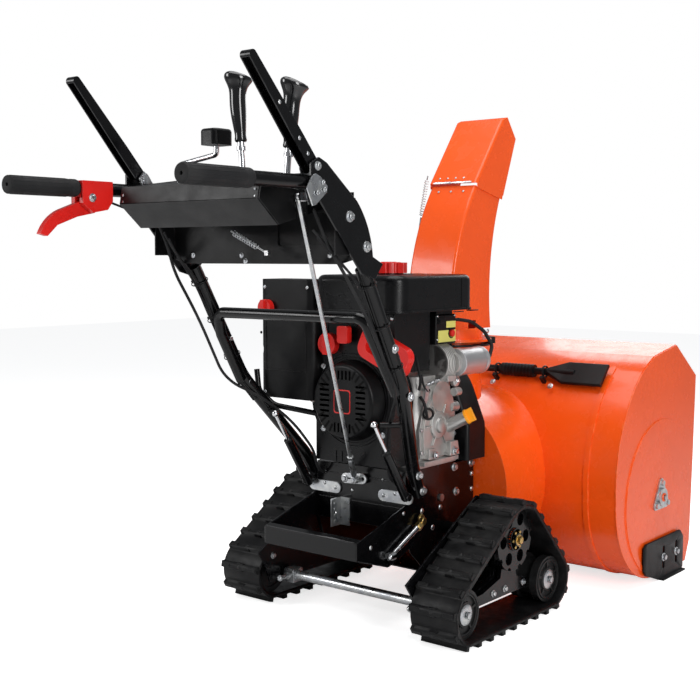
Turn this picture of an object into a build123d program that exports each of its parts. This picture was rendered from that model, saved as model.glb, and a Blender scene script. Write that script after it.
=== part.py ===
"""Two stage snowblower on rubber tracks.

Frame: millimetres, +Z up, +Y towards the auger, +X to the operator's right.
The origin is on the ground under the middle of the machine.
"""
from build123d import *
from math import asin, atan2, cos, hypot, pi, radians, sin, tan
import os

os.makedirs("parts", exist_ok=True)

# ---------------------------------------------------------------- driving dimensions
CLEARING_WIDTH = 762.0          # outside width of the auger housing, a 30 inch machine
SHEET = 3.0                     # housing and chassis sheet
HALF = CLEARING_WIDTH / 2
GAP = 0.5                       # air between pieces that move past each other
RUN = 0.05                      # radial clearance of a shaft in its bore

AUGER_Y, AUGER_Z = 585.0, 198.0
AUGER_RADIUS = 168.0
DRUM_RADIUS = 203.0
DRUM_REAR = 182.0
DRUM_Z = 250.0                  # impeller shaft height
CHUTE_Y = 255.0
OUTLET_RADIUS = 72.0
OUTLET_TOP = 572.0
CHUTE_HALF = 62.0

HOUSING_TOP = (663.0, 554.0)    # corners of the housing's section, as (y, z)
HOUSING_FOLD = (539.0, 534.0)
HOUSING_SHOULDER = (487.0, 508.0)
HOUSING_BACK = (355.0, 225.0)
HOUSING_LIP = (560.0, 16.0)
HOUSING_EDGE = (640.0, 16.0)

CHASSIS_HALF = 119.0
CHASSIS_REAR = -79.0
CHASSIS_FRONT = 178.0
DECK_Z = 318.0
CRANK_Z = 466.0
HEX_Y, HEX_Z = 49.0, DRUM_Z

TRACK_X = 258.0                 # middle of each track
TRACK_WIDTH = 108.0
WHEEL_Z = 68.0
REAR_WHEEL_Y = -119.0
FRONT_WHEEL_Y = 206.0
AXLE_Y, AXLE_Z = 75.0, 180.0
WHEEL_RADIUS = 50.0             # inside of the belt on the road wheels
SPROCKET_RADIUS = 67.0
BELT_THICK = 9.0
LUG_HEIGHT = 9.0
LUGS = 25

GRIP_X = 219.0
GRIP_Z = 890.0
GRIP_RADIUS = 16.5
PLATE_X = 232.0                 # inside face of the handle's side plates

SIDES = (-1, 1)


def pipe(points, bends, radius, wall):
    """A bent tube along straight runs joined by arcs."""
    with BuildPart() as tube:
        with BuildLine() as route:
            if len(points) > 2:
                FilletPolyline(*points, radius=bends)
            else:
                Line(*points)
        with BuildSketch(Plane(route.line @ 0, z_dir=route.line % 0)):
            Circle(radius)
            if wall:
                Circle(radius - wall, mode=Mode.SUBTRACT)
        sweep()
    return tube.part


def rod_between(start, end, radius):
    """A round bar from one point to another."""
    along = Vector(*end) - Vector(*start)
    standing = (Align.CENTER, Align.CENTER, Align.MIN)
    bar = Cylinder(radius, along.length, align=standing, mode=Mode.PRIVATE)
    return Plane(Vector(*start), z_dir=along).location * bar


def hull_face(wheel, top):
    """The outline round the two road wheels and the sprocket."""
    with BuildSketch() as face:
        with Locations((REAR_WHEEL_Y, WHEEL_Z), (FRONT_WHEEL_Y, WHEEL_Z)):
            Circle(wheel)
        with Locations((AXLE_Y, AXLE_Z)):
            Circle(top)
        make_hull()
    return face.sketch


# ---------------------------------------------------------------- auger housing
def housing_line():
    """Section of the bent back sheet, from its top edge round to the scraper."""
    Polyline(HOUSING_TOP, HOUSING_FOLD, HOUSING_SHOULDER)
    ThreePointArc(HOUSING_SHOULDER, (382, 385), HOUSING_BACK)
    ThreePointArc(HOUSING_BACK, (414, 74), HOUSING_LIP)
    Line(HOUSING_LIP, HOUSING_EDGE)


def housing_room(shift, half):
    """The space in front of the back sheet, grown by shift."""
    with BuildPart() as room:
        with BuildSketch(Plane.YZ):
            with BuildLine():
                housing_line()
                Polyline(HOUSING_EDGE, (1000, 16), (1000, 554), HOUSING_TOP)
            make_face()
            offset(amount=shift)
        extrude(amount=half, both=True)
    return room.part


with BuildPart() as auger_housing:
    with BuildSketch(Plane.YZ):
        with BuildLine():
            housing_line()
        trace(line_width=SHEET)
    extrude(amount=HALF - SHEET, both=True)
    for side in SIDES:
        with BuildSketch(Plane.YZ.offset(side * 306)):
            with BuildLine():
                ThreePointArc(HOUSING_SHOULDER, (382, 385), HOUSING_BACK)
                ThreePointArc(HOUSING_BACK, (414, 74), HOUSING_LIP)
            trace(line_width=8)
        extrude(amount=6, both=True)
    add(housing_room(-SHEET / 2, HALF - 30), mode=Mode.SUBTRACT)
    with Locations((0, 400, DRUM_Z)):
        Cylinder(DRUM_RADIUS - SHEET, 400, rotation=(90, 0, 0), mode=Mode.SUBTRACT)
auger_housing.part.label = "auger_housing"
export_step(auger_housing.part, "parts/auger_housing.step")

with BuildPart() as housing_side_plates:
    for side in SIDES:
        with BuildSketch(Plane.YZ.offset(side * (HALF - SHEET / 2))):
            with BuildLine():
                Polyline((600, 12), (742, 12), (765, 59), (777, 285), (784, 472), HOUSING_TOP,
                         HOUSING_FOLD, HOUSING_SHOULDER)
                ThreePointArc(HOUSING_SHOULDER, (380, 385), (352, 225))
                ThreePointArc((352, 225), (412, 71), (560, 12))
                Line((560, 12), (600, 12))
            make_face()
            with Locations((AUGER_Y, AUGER_Z)):
                Circle(21, mode=Mode.SUBTRACT)
        extrude(amount=SHEET / 2, both=True)
        with BuildSketch(Plane.YZ.offset(side * HALF)):
            with Locations((AUGER_Y, AUGER_Z)):
                Circle(186)
            with Locations((AUGER_Y + 20, AUGER_Z - 20)):
                Circle(172, mode=Mode.SUBTRACT)
            with Locations((AUGER_Y + 200, AUGER_Z)):
                Rectangle(300, 500, mode=Mode.SUBTRACT)
        extrude(amount=side * 3)
housing_side_plates.part.label = "housing_side_plates"
export_step(housing_side_plates.part, "parts/housing_side_plates.step")

with BuildPart() as impeller_drum:
    with Locations((0, (DRUM_REAR + 460) / 2, DRUM_Z)):
        Cylinder(DRUM_RADIUS, 460 - DRUM_REAR, rotation=(90, 0, 0))
    with Locations((0, CHUTE_Y, (DRUM_Z + OUTLET_TOP) / 2)):
        Cylinder(OUTLET_RADIUS + SHEET, OUTLET_TOP - DRUM_Z)
    add(housing_room(SHEET / 2 + 0.2, HALF), mode=Mode.SUBTRACT)
    with Locations((0, DRUM_REAR + SHEET + 200, DRUM_Z)):
        Cylinder(DRUM_RADIUS - SHEET, 400, rotation=(90, 0, 0), mode=Mode.SUBTRACT)
    with Locations((0, CHUTE_Y, (DRUM_Z + OUTLET_TOP) / 2 + 5)):
        Cylinder(OUTLET_RADIUS, OUTLET_TOP - DRUM_Z, mode=Mode.SUBTRACT)
    with Locations((0, DRUM_REAR, DRUM_Z)):
        Cylinder(14, 40, rotation=(90, 0, 0), mode=Mode.SUBTRACT)
impeller_drum.part.label = "impeller_drum"
export_step(impeller_drum.part, "parts/impeller_drum.step")

with BuildPart() as scraper_bar:
    with Locations((0, 655, 11.9)):
        Box(2 * (HALF - SHEET) - 1, 90, 5)
    with Locations((0, 668, 11.9)):
        with GridLocations(150, 1, 5, 1):
            Cylinder(7, 11)
scraper_bar.part.label = "scraper_bar"
export_step(scraper_bar.part, "parts/scraper_bar.step")

with BuildPart() as skid_shoes:
    for side in SIDES:
        with BuildSketch(Plane.YZ.offset(side * (HALF + 3))):
            with BuildLine():
                Polyline((487, 92), (502, 100), (690, 100), (709, 82), (709, 6), (700, 0), (575, 0),
                         (500, 26), (487, 40), close=True)
            make_face()
            for slot_y in (595, 668):
                with Locations((slot_y, 52)):
                    SlotOverall(56, 13, rotation=90, mode=Mode.SUBTRACT)
        extrude(amount=side * 5)
        with BuildSketch(Plane.XY):
            with Locations((side * (HALF + 9), 638)):
                Rectangle(18, 126)
        extrude(amount=4)
skid_shoes.part.label = "skid_shoes"
export_step(skid_shoes.part, "parts/skid_shoes.step")


# ---------------------------------------------------------------- auger and impeller

with BuildPart() as auger_gearbox:
    with Locations((0, AUGER_Y, AUGER_Z)):
        Cylinder(48, 74, rotation=(0, 90, 0))
        Cylinder(26, 104, rotation=(0, 90, 0))
    with Locations((0, AUGER_Y - 20, DRUM_Z + 2)):
        Cylinder(25, 130, rotation=(90, 0, 0))
    with Locations((0, AUGER_Y, AUGER_Z)):
        Cylinder(42, 66, rotation=(0, 90, 0), mode=Mode.SUBTRACT)
        Cylinder(12 + RUN, 120, rotation=(0, 90, 0), mode=Mode.SUBTRACT)
    with Locations((0, AUGER_Y - 25, DRUM_Z)):
        Cylinder(19, 110, rotation=(90, 0, 0), mode=Mode.SUBTRACT)
    with Locations((0, AUGER_Y - 60, DRUM_Z)):
        Cylinder(12 + RUN, 80, rotation=(90, 0, 0), mode=Mode.SUBTRACT)
auger_gearbox.part.label = "auger_gearbox"
export_step(auger_gearbox.part, "parts/auger_gearbox.step")


FLIGHT_START = 62.0             # first turn's distance from the middle
FLIGHT_TURNS = 0.9
RIBBON = 52.0
FLIGHT_LENGTH = HALF - SHEET - 12 - FLIGHT_START


def ribbon_flight():
    """One ribbon that winds nearly a whole turn round an upright axis."""
    with BuildPart() as ribbon:
        with BuildLine() as edge:
            Helix(FLIGHT_LENGTH / FLIGHT_TURNS, FLIGHT_LENGTH, AUGER_RADIUS - RIBBON / 2)
        with BuildSketch(Plane(edge.line @ 0, x_dir=(1, 0, 0), z_dir=edge.line % 0)):
            Rectangle(RIBBON, 4)
        sweep(path=edge.line, is_frenet=True)
    return ribbon.part


def flight_pair():
    """Two ribbon flights with their arms round a tube that stands on its end."""
    ribbon = ribbon_flight()
    with BuildPart() as flights:
        with Locations((0, 0, FLIGHT_LENGTH / 2)):
            Cylinder(20, FLIGHT_LENGTH)
        for start in (0, 180):
            add(ribbon.rotate(Axis.Z, start))
            for step in (0.12, 0.5, 0.88):
                turn = start + step * FLIGHT_TURNS * 360
                with Locations(Location((0, 0, step * FLIGHT_LENGTH), (0, 0, turn))):
                    with Locations((72, 0, 0)):
                        Box(116, 6, 22)
        with Locations((0, 0, FLIGHT_LENGTH / 2)):
            Cylinder(10, FLIGHT_LENGTH, mode=Mode.SUBTRACT)
    return flights.part


right_flights = Pos(FLIGHT_START, AUGER_Y, AUGER_Z) * Rot(0, 90, 0) * flight_pair()
with BuildPart() as auger:
    add(right_flights)
    add(right_flights.mirror(Plane.YZ))
    with Locations((0, AUGER_Y, AUGER_Z)):
        Cylinder(10, 2 * HALF + 24, rotation=(0, 90, 0))
        Cylinder(12, 116, rotation=(0, 90, 0))
        Cylinder(36, 22, rotation=(0, 90, 0))
auger.part.label = "auger"
export_step(auger.part, "parts/auger.step")

with BuildPart() as impeller:
    with Locations((0, 262, DRUM_Z)):
        Cylinder(34, 110, rotation=(90, 0, 0))
    for turn in range(0, 360, 90):
        with Locations(Location((0, 262, DRUM_Z), (0, turn, 0))):
            with Locations((108, 0, 0)):
                Box(164, 104, 5)
            with Locations((187, 0, 9)):
                Box(5, 104, 18)
    with Locations((0, 200, DRUM_Z)):
        Cylinder(12, 400, rotation=(90, 0, 0), mode=Mode.SUBTRACT)
impeller.part.label = "impeller"
export_step(impeller.part, "parts/impeller.step")

AUGER_PULLEY = 88.0
with BuildPart() as impeller_shaft:
    with Locations((0, (150 + 590) / 2, DRUM_Z)):
        Cylinder(12, 590 - 150, rotation=(90, 0, 0))
    with Locations((0, AUGER_Y, DRUM_Z)):
        Cylinder(15.5, 60, rotation=(90, 0, 0))
    with Locations((0, 161, DRUM_Z)):
        Cylinder(AUGER_PULLEY, 16, rotation=(90, 0, 0))
    with BuildSketch(Plane.YZ):
        with BuildLine():
            Polyline((155, DRUM_Z + AUGER_PULLEY + 1), (167, DRUM_Z + AUGER_PULLEY + 1),
                     (164, DRUM_Z + AUGER_PULLEY - 11), (158, DRUM_Z + AUGER_PULLEY - 11), close=True)
        make_face()
    revolve(axis=Axis((0, 0, DRUM_Z), (0, 1, 0)), mode=Mode.SUBTRACT)
impeller_shaft.part.label = "impeller_shaft"
export_step(impeller_shaft.part, "parts/impeller_shaft.step")

# ---------------------------------------------------------------- chute
CHUTE_RING = OUTLET_RADIUS + SHEET + 22
with BuildPart() as chute_ring:
    with Locations((0, CHUTE_Y, OUTLET_TOP - 8)):
        Cylinder(CHUTE_RING, 4)
        Cylinder(OUTLET_RADIUS + SHEET + 0.05, 4, mode=Mode.SUBTRACT)
    with Locations((0, CHUTE_Y, OUTLET_TOP - 2.25)):
        with PolarLocations(CHUTE_RING + 6, 3, 60):
            Box(22, 26, 15.5)
    with Locations((0, CHUTE_Y, OUTLET_TOP + 1)):
        Cylinder(CHUTE_RING + 1, 14, mode=Mode.SUBTRACT)
chute_ring.part.label = "chute_ring"
export_step(chute_ring.part, "parts/chute_ring.step")

CHUTE_BACK = ((172, 600), (200, 800), (268, 928))
CHUTE_FRONT = ((371, 905), (336, 781), (334, 600))


def chute_sides(half, grow, top):
    """The chute's outline seen from the side, closed by the points in top, as a block."""
    with BuildPart() as block:
        with BuildSketch(Plane.YZ):
            with BuildLine():
                ThreePointArc(*CHUTE_BACK)
                Polyline(CHUTE_BACK[-1], *top, CHUTE_FRONT[0])
                ThreePointArc(*CHUTE_FRONT)
                Line(CHUTE_FRONT[-1], CHUTE_BACK[0])
            make_face()
            if grow:
                offset(amount=grow)
        extrude(amount=half, both=True)
    return block.part


with BuildPart() as chute:
    add(chute_sides(CHUTE_HALF, 0, []))
    fillet(chute.edges().filter_by(lambda e: e.center().Y < 250 and abs(e.center().X) > 60
                                   and e.length > 200), 7)
    with Locations((0, CHUTE_Y, 587.5)):
        Cylinder(OUTLET_RADIUS + SHEET + 2.6, 29)
    add(chute_sides(CHUTE_HALF - SHEET, -SHEET, [(268, 980), (430, 980)]), mode=Mode.SUBTRACT)
    with Locations((0, 390, 815)):
        Box(2 * CHUTE_HALF - 40, 130, 250, mode=Mode.SUBTRACT)
    with Locations((0, CHUTE_Y, 580)):
        Cylinder(OUTLET_RADIUS - 8, 80, mode=Mode.SUBTRACT)
    with Locations((0, CHUTE_Y, OUTLET_TOP + 2.7)):
        Cylinder(CHUTE_RING, 5)
        Cylinder(OUTLET_RADIUS - 8, 5, mode=Mode.SUBTRACT)
chute.part.label = "chute"
export_step(chute.part, "parts/chute.step")

with BuildPart() as chute_deflector:
    with BuildSketch(Plane.YZ):
        with BuildLine():
            Polyline((262, 934), (374, 1084), (396, 1092), (434, 1044), (380, 908), (262, 934))
        make_face()
    extrude(amount=CHUTE_HALF + SHEET + GAP, both=True)
    fillet(chute_deflector.edges().filter_by(lambda e: e.center().Y < 330 and abs(e.center().X) > 60
                                             and e.length > 160), 7)
    with BuildSketch(Plane.YZ):
        with BuildLine():
            Polyline((267, 936), (376, 1081), (394, 1088), (480, 1060), (480, 860), (267, 880), (267, 936))
        make_face()
    extrude(amount=CHUTE_HALF + GAP, both=True, mode=Mode.SUBTRACT)
chute_deflector.part.label = "chute_deflector"
export_step(chute_deflector.part, "parts/chute_deflector.step")

TOOL_Y, TOOL_Z = 439.0, 493.0
TOOL_SLOPE = 46                 # the scoop lies along the housing's shoulder
with BuildPart() as cleaning_tool:
    with BuildSketch(Plane.YZ.offset(-61)):
        with Locations((TOOL_Y, TOOL_Z)):
            Circle(8.5)
    extrude(amount=290)
    with Locations((-61, TOOL_Y, TOOL_Z)):
        Sphere(12)
    with BuildSketch(Plane.YZ.offset(34)):
        with Locations((TOOL_Y, TOOL_Z)):
            Circle(15)
    extrude(amount=88)
    for reach, depth, height in ((160, 17, 17), (205, 64, 9)):
        with BuildSketch(Plane.YZ.offset(reach)):
            with Locations(Location((TOOL_Y, TOOL_Z), TOOL_SLOPE)):
                RectangleRounded(depth, height, 4)
    loft()
    with BuildSketch(Plane.YZ.offset(205)):
        with Locations(Location((TOOL_Y, TOOL_Z), TOOL_SLOPE)):
            RectangleRounded(64, 9, 4)
    extrude(amount=100)
cleaning_tool.part.label = "cleaning_tool"
export_step(cleaning_tool.part, "parts/cleaning_tool.step")

# ---------------------------------------------------------------- chassis
PLATE = CHASSIS_HALF - SHEET / 2
with BuildPart() as chassis_frame:
    for side in SIDES:
        with BuildSketch(Plane.YZ.offset(side * PLATE)):
            with BuildLine():
                Polyline((CHASSIS_REAR, DECK_Z), (CHASSIS_FRONT, DECK_Z), (CHASSIS_FRONT, 120), (120, 95),
                         (0, 95), (-60, 150), (CHASSIS_REAR, 200), close=True)
            make_face()
            with Locations((AXLE_Y, AXLE_Z)):
                Circle(14 + RUN, mode=Mode.SUBTRACT)
            with Locations((HEX_Y, HEX_Z)):
                Circle(8 + RUN, mode=Mode.SUBTRACT)
        extrude(amount=SHEET / 2, both=True)
    with BuildSketch(Plane.XZ.offset(-CHASSIS_REAR - SHEET)):
        with Locations((0, (DECK_Z + 200) / 2)):
            Rectangle(2 * CHASSIS_HALF - 2 * SHEET, DECK_Z - 200)
    extrude(amount=SHEET)
    with BuildSketch(Plane.XZ.offset(-CHASSIS_FRONT)):
        with Locations((0, 222)):
            Rectangle(2 * CHASSIS_HALF - 2 * SHEET, 190)
        with Locations((0, DRUM_Z)):
            Circle(14, mode=Mode.SUBTRACT)
    extrude(amount=SHEET)
    with BuildSketch(Plane.XY.offset(DECK_Z)):
        with Locations((0, (CHASSIS_REAR + 100) / 2)):
            Rectangle(2 * CHASSIS_HALF, 100 - CHASSIS_REAR)
    extrude(amount=5)
    with Locations((0, 60, 96.5)):
        Box(2 * CHASSIS_HALF - 2 * SHEET, 120, SHEET)
chassis_frame.part.label = "chassis_frame"
export_step(chassis_frame.part, "parts/chassis_frame.step")

with BuildPart() as belt_cover:
    with BuildSketch(Plane.XZ.offset(-108)):
        with BuildLine():
            Polyline((-148, DECK_Z + 6), (148, DECK_Z + 6), (148, 400), (120, 470))
            ThreePointArc((120, 470), (0, 552), (-120, 470))
            Polyline((-120, 470), (-148, 400), (-148, DECK_Z + 6))
        make_face()
    extrude(amount=-70)
    fillet(belt_cover.faces().sort_by(Axis.Y)[0].outer_wire().edges().filter_by(
        lambda e: e.center().Z > DECK_Z + 20), 9)
    with BuildSketch(Plane.XZ.offset(-108 - SHEET)):
        with BuildLine():
            Polyline((-145, DECK_Z), (145, DECK_Z), (145, 400), (117, 467))
            ThreePointArc((117, 467), (0, 549), (-117, 467))
            Polyline((-117, 467), (-145, 400), (-145, DECK_Z))
        make_face()
        offset(amount=-6)
    extrude(amount=-100, mode=Mode.SUBTRACT)
    with Locations((0, 108, CRANK_Z)):
        Cylinder(30, 30, rotation=(90, 0, 0), mode=Mode.SUBTRACT)
belt_cover.part.label = "belt_cover"
export_step(belt_cover.part, "parts/belt_cover.step")

with BuildPart() as rear_tray:
    for side in SIDES:
        with BuildSketch(Plane.YZ.offset(side * (CHASSIS_HALF + SHEET / 2 + 1))):
            with BuildLine():
                Polyline((-245, 206), (-60, 262), (-60, 165), (-140, 138), (-245, 172), close=True)
            make_face()
        extrude(amount=SHEET / 2, both=True)
    with BuildSketch(Plane.YZ):
        with BuildLine():
            Polyline((-230, 210), (-245, 206), (-245, 172), (-140, 138), (CHASSIS_REAR - 4, 158))
        trace(line_width=SHEET)
    extrude(amount=CHASSIS_HALF + 1, both=True)
rear_tray.part.label = "rear_tray"
export_step(rear_tray.part, "parts/rear_tray.step")

# ---------------------------------------------------------------- drive train
ENGINE_PULLEY = 42.0
with BuildPart() as crankshaft:
    with Locations((0, 20, CRANK_Z)):
        Cylinder(12.5, 300, rotation=(90, 0, 0))
    with Locations((0, 20, CRANK_Z)):
        Cylinder(45, 20, rotation=(90, 0, 0))
    for groove_y, groove in ((161, ENGINE_PULLEY + 6), (132, ENGINE_PULLEY)):
        with Locations((0, groove_y, CRANK_Z)):
            Cylinder(groove, 16, rotation=(90, 0, 0))
        with BuildSketch(Plane.YZ):
            with BuildLine():
                rim = CRANK_Z + groove
                Polyline((groove_y - 6, rim + 1), (groove_y + 6, rim + 1), (groove_y + 3, rim - 11),
                         (groove_y - 3, rim - 11), (groove_y - 6, rim + 1))
            make_face()
        revolve(axis=Axis((0, 0, CRANK_Z), (0, 1, 0)), mode=Mode.SUBTRACT)
crankshaft.part.label = "crankshaft"
export_step(crankshaft.part, "parts/crankshaft.step")

DRIVE_PULLEY = 72.0
with BuildPart() as drive_disc:
    with Locations((0, 130, HEX_Z)):
        Cylinder(DRIVE_PULLEY, 14, rotation=(90, 0, 0))
    with BuildSketch(Plane.YZ):
        with BuildLine():
            Polyline((126, HEX_Z + DRIVE_PULLEY + 1), (138, HEX_Z + DRIVE_PULLEY + 1),
                     (135, HEX_Z + DRIVE_PULLEY - 11), (129, HEX_Z + DRIVE_PULLEY - 11), close=True)
        make_face()
    revolve(axis=Axis((0, 0, HEX_Z), (0, 1, 0)), mode=Mode.SUBTRACT)
    with Locations((0, 115, HEX_Z)):
        Cylinder(20, 18, rotation=(90, 0, 0))
    with Locations((0, 107, HEX_Z)):
        Cylinder(70, 5, rotation=(90, 0, 0))
drive_disc.part.label = "drive_disc"
export_step(drive_disc.part, "parts/drive_disc.step")


def belt_loop(y, low_radius, high_radius, low_z):
    """A V belt round the engine pulley and one below it."""
    with BuildPart() as belt:
        for shrink, mode in ((0, Mode.ADD), (8, Mode.SUBTRACT)):
            with BuildSketch(Plane.XZ.offset(-y + 4)):
                with Locations((0, CRANK_Z)):
                    Circle(high_radius - shrink)
                with Locations((0, low_z)):
                    Circle(low_radius - shrink)
                make_hull()
            extrude(amount=-8, mode=mode)
    return belt.part


with BuildPart() as drive_belts:
    add(belt_loop(161, AUGER_PULLEY + 8.2, ENGINE_PULLEY + 14.2, DRUM_Z))
    add(belt_loop(131, DRIVE_PULLEY + 8.2, ENGINE_PULLEY + 8.2, HEX_Z))
drive_belts.part.label = "drive_belts"
export_step(drive_belts.part, "parts/drive_belts.step")

with BuildPart() as friction_wheel:
    with Locations((0, HEX_Y, HEX_Z)):
        Cylinder(54.7, 14, rotation=(0, 90, 0))
        Cylinder(18, 40, rotation=(0, 90, 0))
        with BuildSketch(Plane.YZ):
            with Locations((HEX_Y, HEX_Z)):
                RegularPolygon(11 + RUN, 6)
        extrude(amount=30, both=True, mode=Mode.SUBTRACT)
friction_wheel.part.label = "friction_wheel"
export_step(friction_wheel.part, "parts/friction_wheel.step")

PINION, GEAR = 18.0, 56.0
with BuildPart() as hex_shaft:
    with BuildSketch(Plane.YZ):
        with Locations((HEX_Y, HEX_Z)):
            RegularPolygon(11, 6)
    extrude(amount=PLATE - 4, both=True)
    with Locations((0, HEX_Y, HEX_Z)):
        Cylinder(8, 2 * CHASSIS_HALF + 8, rotation=(0, 90, 0))
    with Locations((92, HEX_Y, HEX_Z)):
        Cylinder(PINION, 16, rotation=(0, 90, 0))
hex_shaft.part.label = "hex_shaft"
export_step(hex_shaft.part, "parts/hex_shaft.step")

SPROCKET_FACE = TRACK_X + 30
with BuildPart() as track_axle:
    with Locations((0, AXLE_Y, AXLE_Z)):
        Cylinder(14, 2 * SPROCKET_FACE + 20, rotation=(0, 90, 0))
    with Locations((92, AXLE_Y, AXLE_Z)):
        Cylinder(GEAR, 14, rotation=(0, 90, 0))
    for side in SIDES:
        with Locations((side * TRACK_X, AXLE_Y, AXLE_Z)):
            Cylinder(24, 70, rotation=(0, 90, 0))
        for rim in (-24, 24):
            with BuildSketch(Plane.YZ.offset(side * TRACK_X + rim)):
                with Locations((AXLE_Y, AXLE_Z)):
                    Circle(SPROCKET_RADIUS - 0.4)
                    with PolarLocations(44, 6):
                        Circle(13, mode=Mode.SUBTRACT)
                    with PolarLocations(SPROCKET_RADIUS, 10):
                        Circle(7, mode=Mode.SUBTRACT)
            extrude(amount=6, both=True)
track_axle.part.label = "track_axle"
export_step(track_axle.part, "parts/track_axle.step")

# ---------------------------------------------------------------- tracks
FRAME_X = 198.0
with BuildPart() as track_frames:
    for side in SIDES:
        with BuildSketch(Plane.YZ.offset(side * FRAME_X)):
            with BuildLine():
                Polyline((-187, 124), (66, 262), (112, 250), (150, 200), (170, 140), (222, 52), (-150, 52),
                         (-166, 96), close=True)
            make_face()
            with Locations((AXLE_Y, AXLE_Z)):
                Circle(14 + RUN, mode=Mode.SUBTRACT)
        extrude(amount=2, both=True)
        for rail_x in (TRACK_X - 9, TRACK_X + 9):
            with BuildSketch(Plane.YZ.offset(side * rail_x)):
                with BuildLine():
                    Polyline((-66, 60), (153, 60), (153, 80), (112, 92), (98, 150), (60, 150), (48, 100),
                             (-20, 82), (-66, 80), close=True)
                make_face()
            extrude(amount=4, both=True)
        with Locations((side * (TRACK_X - 26), 43, 72)):
            Box(68, 34, 14)
        for wheel_y in (REAR_WHEEL_Y, FRONT_WHEEL_Y):
            with Locations((side * (FRAME_X + 40), wheel_y, WHEEL_Z)):
                Cylinder(10, 76, rotation=(0, 90, 0))
track_frames.part.label = "track_frames"
export_step(track_frames.part, "parts/track_frames.step")


def belt_points():
    """Centres and normals of the lugs, evenly spaced round the belt."""
    wheel_round = WHEEL_RADIUS + BELT_THICK
    circles = [((REAR_WHEEL_Y, WHEEL_Z), wheel_round), ((FRONT_WHEEL_Y, WHEEL_Z), wheel_round),
               ((AXLE_Y, AXLE_Z), SPROCKET_RADIUS + BELT_THICK)]
    pieces = []
    normals = []
    for index in range(3):
        (start, start_r), (end, end_r) = circles[index], circles[(index + 1) % 3]
        run = Vector(end[0] - start[0], end[1] - start[1])
        slope = atan2(run.Y, run.X)
        normals.append(slope - pi / 2 + asin((end_r - start_r) / run.length) * -1)
    for index in range(3):
        centre, radius = circles[index]
        before, after = normals[index - 1], normals[index]
        sweep_angle = (after - before) % (2 * pi)
        pieces.append(("arc", centre, radius, before, sweep_angle, radius * sweep_angle))
        follower, follower_radius = circles[(index + 1) % 3]
        run = hypot(follower[0] - centre[0], follower[1] - centre[1])
        pieces.append(("run", centre, radius, after, 0, (run ** 2 - (follower_radius - radius) ** 2) ** 0.5))
    total = sum(piece[5] for piece in pieces)
    for lug in range(LUGS):
        left = total * lug / LUGS
        for kind, centre, radius, angle, turn, length in pieces:
            if left <= length:
                break
            left -= length
        if kind == "arc":
            angle += left / radius
            left = 0
        outward = (cos(angle), sin(angle))
        yield (centre[0] + radius * outward[0] - left * outward[1],
               centre[1] + radius * outward[1] + left * outward[0], outward)


with BuildPart() as track_belts:
    for side in SIDES:
        with BuildSketch(Plane.YZ.offset(side * TRACK_X)):
            add(hull_face(WHEEL_RADIUS + BELT_THICK, SPROCKET_RADIUS + BELT_THICK))
            add(hull_face(WHEEL_RADIUS, SPROCKET_RADIUS), mode=Mode.SUBTRACT)
        extrude(amount=TRACK_WIDTH / 2, both=True)
    for y, z, outward in belt_points():
        for side in SIDES:
            face = Plane((side * TRACK_X, y, z), x_dir=(1, 0, 0), z_dir=(0, outward[0], outward[1]))
            with Locations(face.location):
                with Locations((0, 0, LUG_HEIGHT / 2 - 1)):
                    Box(TRACK_WIDTH - 2, 13, LUG_HEIGHT + 2)
track_belts.part.label = "track_belts"
export_step(track_belts.part, "parts/track_belts.step")


def road_wheels(wheel_y):
    """The pair of road wheels on one cross line, left and right."""
    with BuildPart() as wheels:
        for side in SIDES:
            for rim in (-27, 27):
                with BuildSketch(Plane.YZ.offset(side * TRACK_X + rim)):
                    with Locations((wheel_y, WHEEL_Z)):
                        Circle(WHEEL_RADIUS - 0.4)
                        Circle(WHEEL_RADIUS - 12, mode=Mode.SUBTRACT)
                extrude(amount=9, both=True)
            with BuildSketch(Plane.YZ.offset(side * TRACK_X)):
                with Locations((wheel_y, WHEEL_Z)):
                    Circle(WHEEL_RADIUS - 11)
            extrude(amount=18 + 14, both=True)
            with BuildSketch(Plane.YZ.offset(side * (TRACK_X + 32))):
                with Locations((wheel_y, WHEEL_Z)):
                    Circle(27)
            extrude(amount=side * 5, taper=20)
            with BuildSketch(Plane.YZ.offset(side * (FRAME_X + 10))):
                with Locations((wheel_y, WHEEL_Z)):
                    Circle(10 + RUN)
            extrude(amount=side * 69, mode=Mode.SUBTRACT)
    return wheels.part


with BuildPart() as rear_track_wheels:
    add(road_wheels(REAR_WHEEL_Y))
rear_track_wheels.part.label = "rear_track_wheels"
export_step(rear_track_wheels.part, "parts/rear_track_wheels.step")

with BuildPart() as front_track_wheels:
    add(road_wheels(FRONT_WHEEL_Y))
front_track_wheels.part.label = "front_track_wheels"
export_step(front_track_wheels.part, "parts/front_track_wheels.step")

with BuildPart() as track_crossbar:
    with Locations((0, -95, 62)):
        Cylinder(10, 2 * FRAME_X - 4, rotation=(0, 90, 0))
    for side in SIDES:
        with Locations((side * 176, -95, 62)):
            Box(26, 30, 30)
        with Locations((side * 176, -118, 62)):
            Cylinder(5, 46, rotation=(90, 0, 0))
            with Locations((0, -22, 0)):
                Sphere(7)
track_crossbar.part.label = "track_crossbar"
export_step(track_crossbar.part, "parts/track_crossbar.step")

# ---------------------------------------------------------------- engine
OIL_MOUTH = (158, 86, 423)      # top of the oil filler pipe
OIL_LEAN = (46, 18, 26)
oil_line = Plane(OIL_MOUTH, z_dir=OIL_LEAN)

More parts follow.
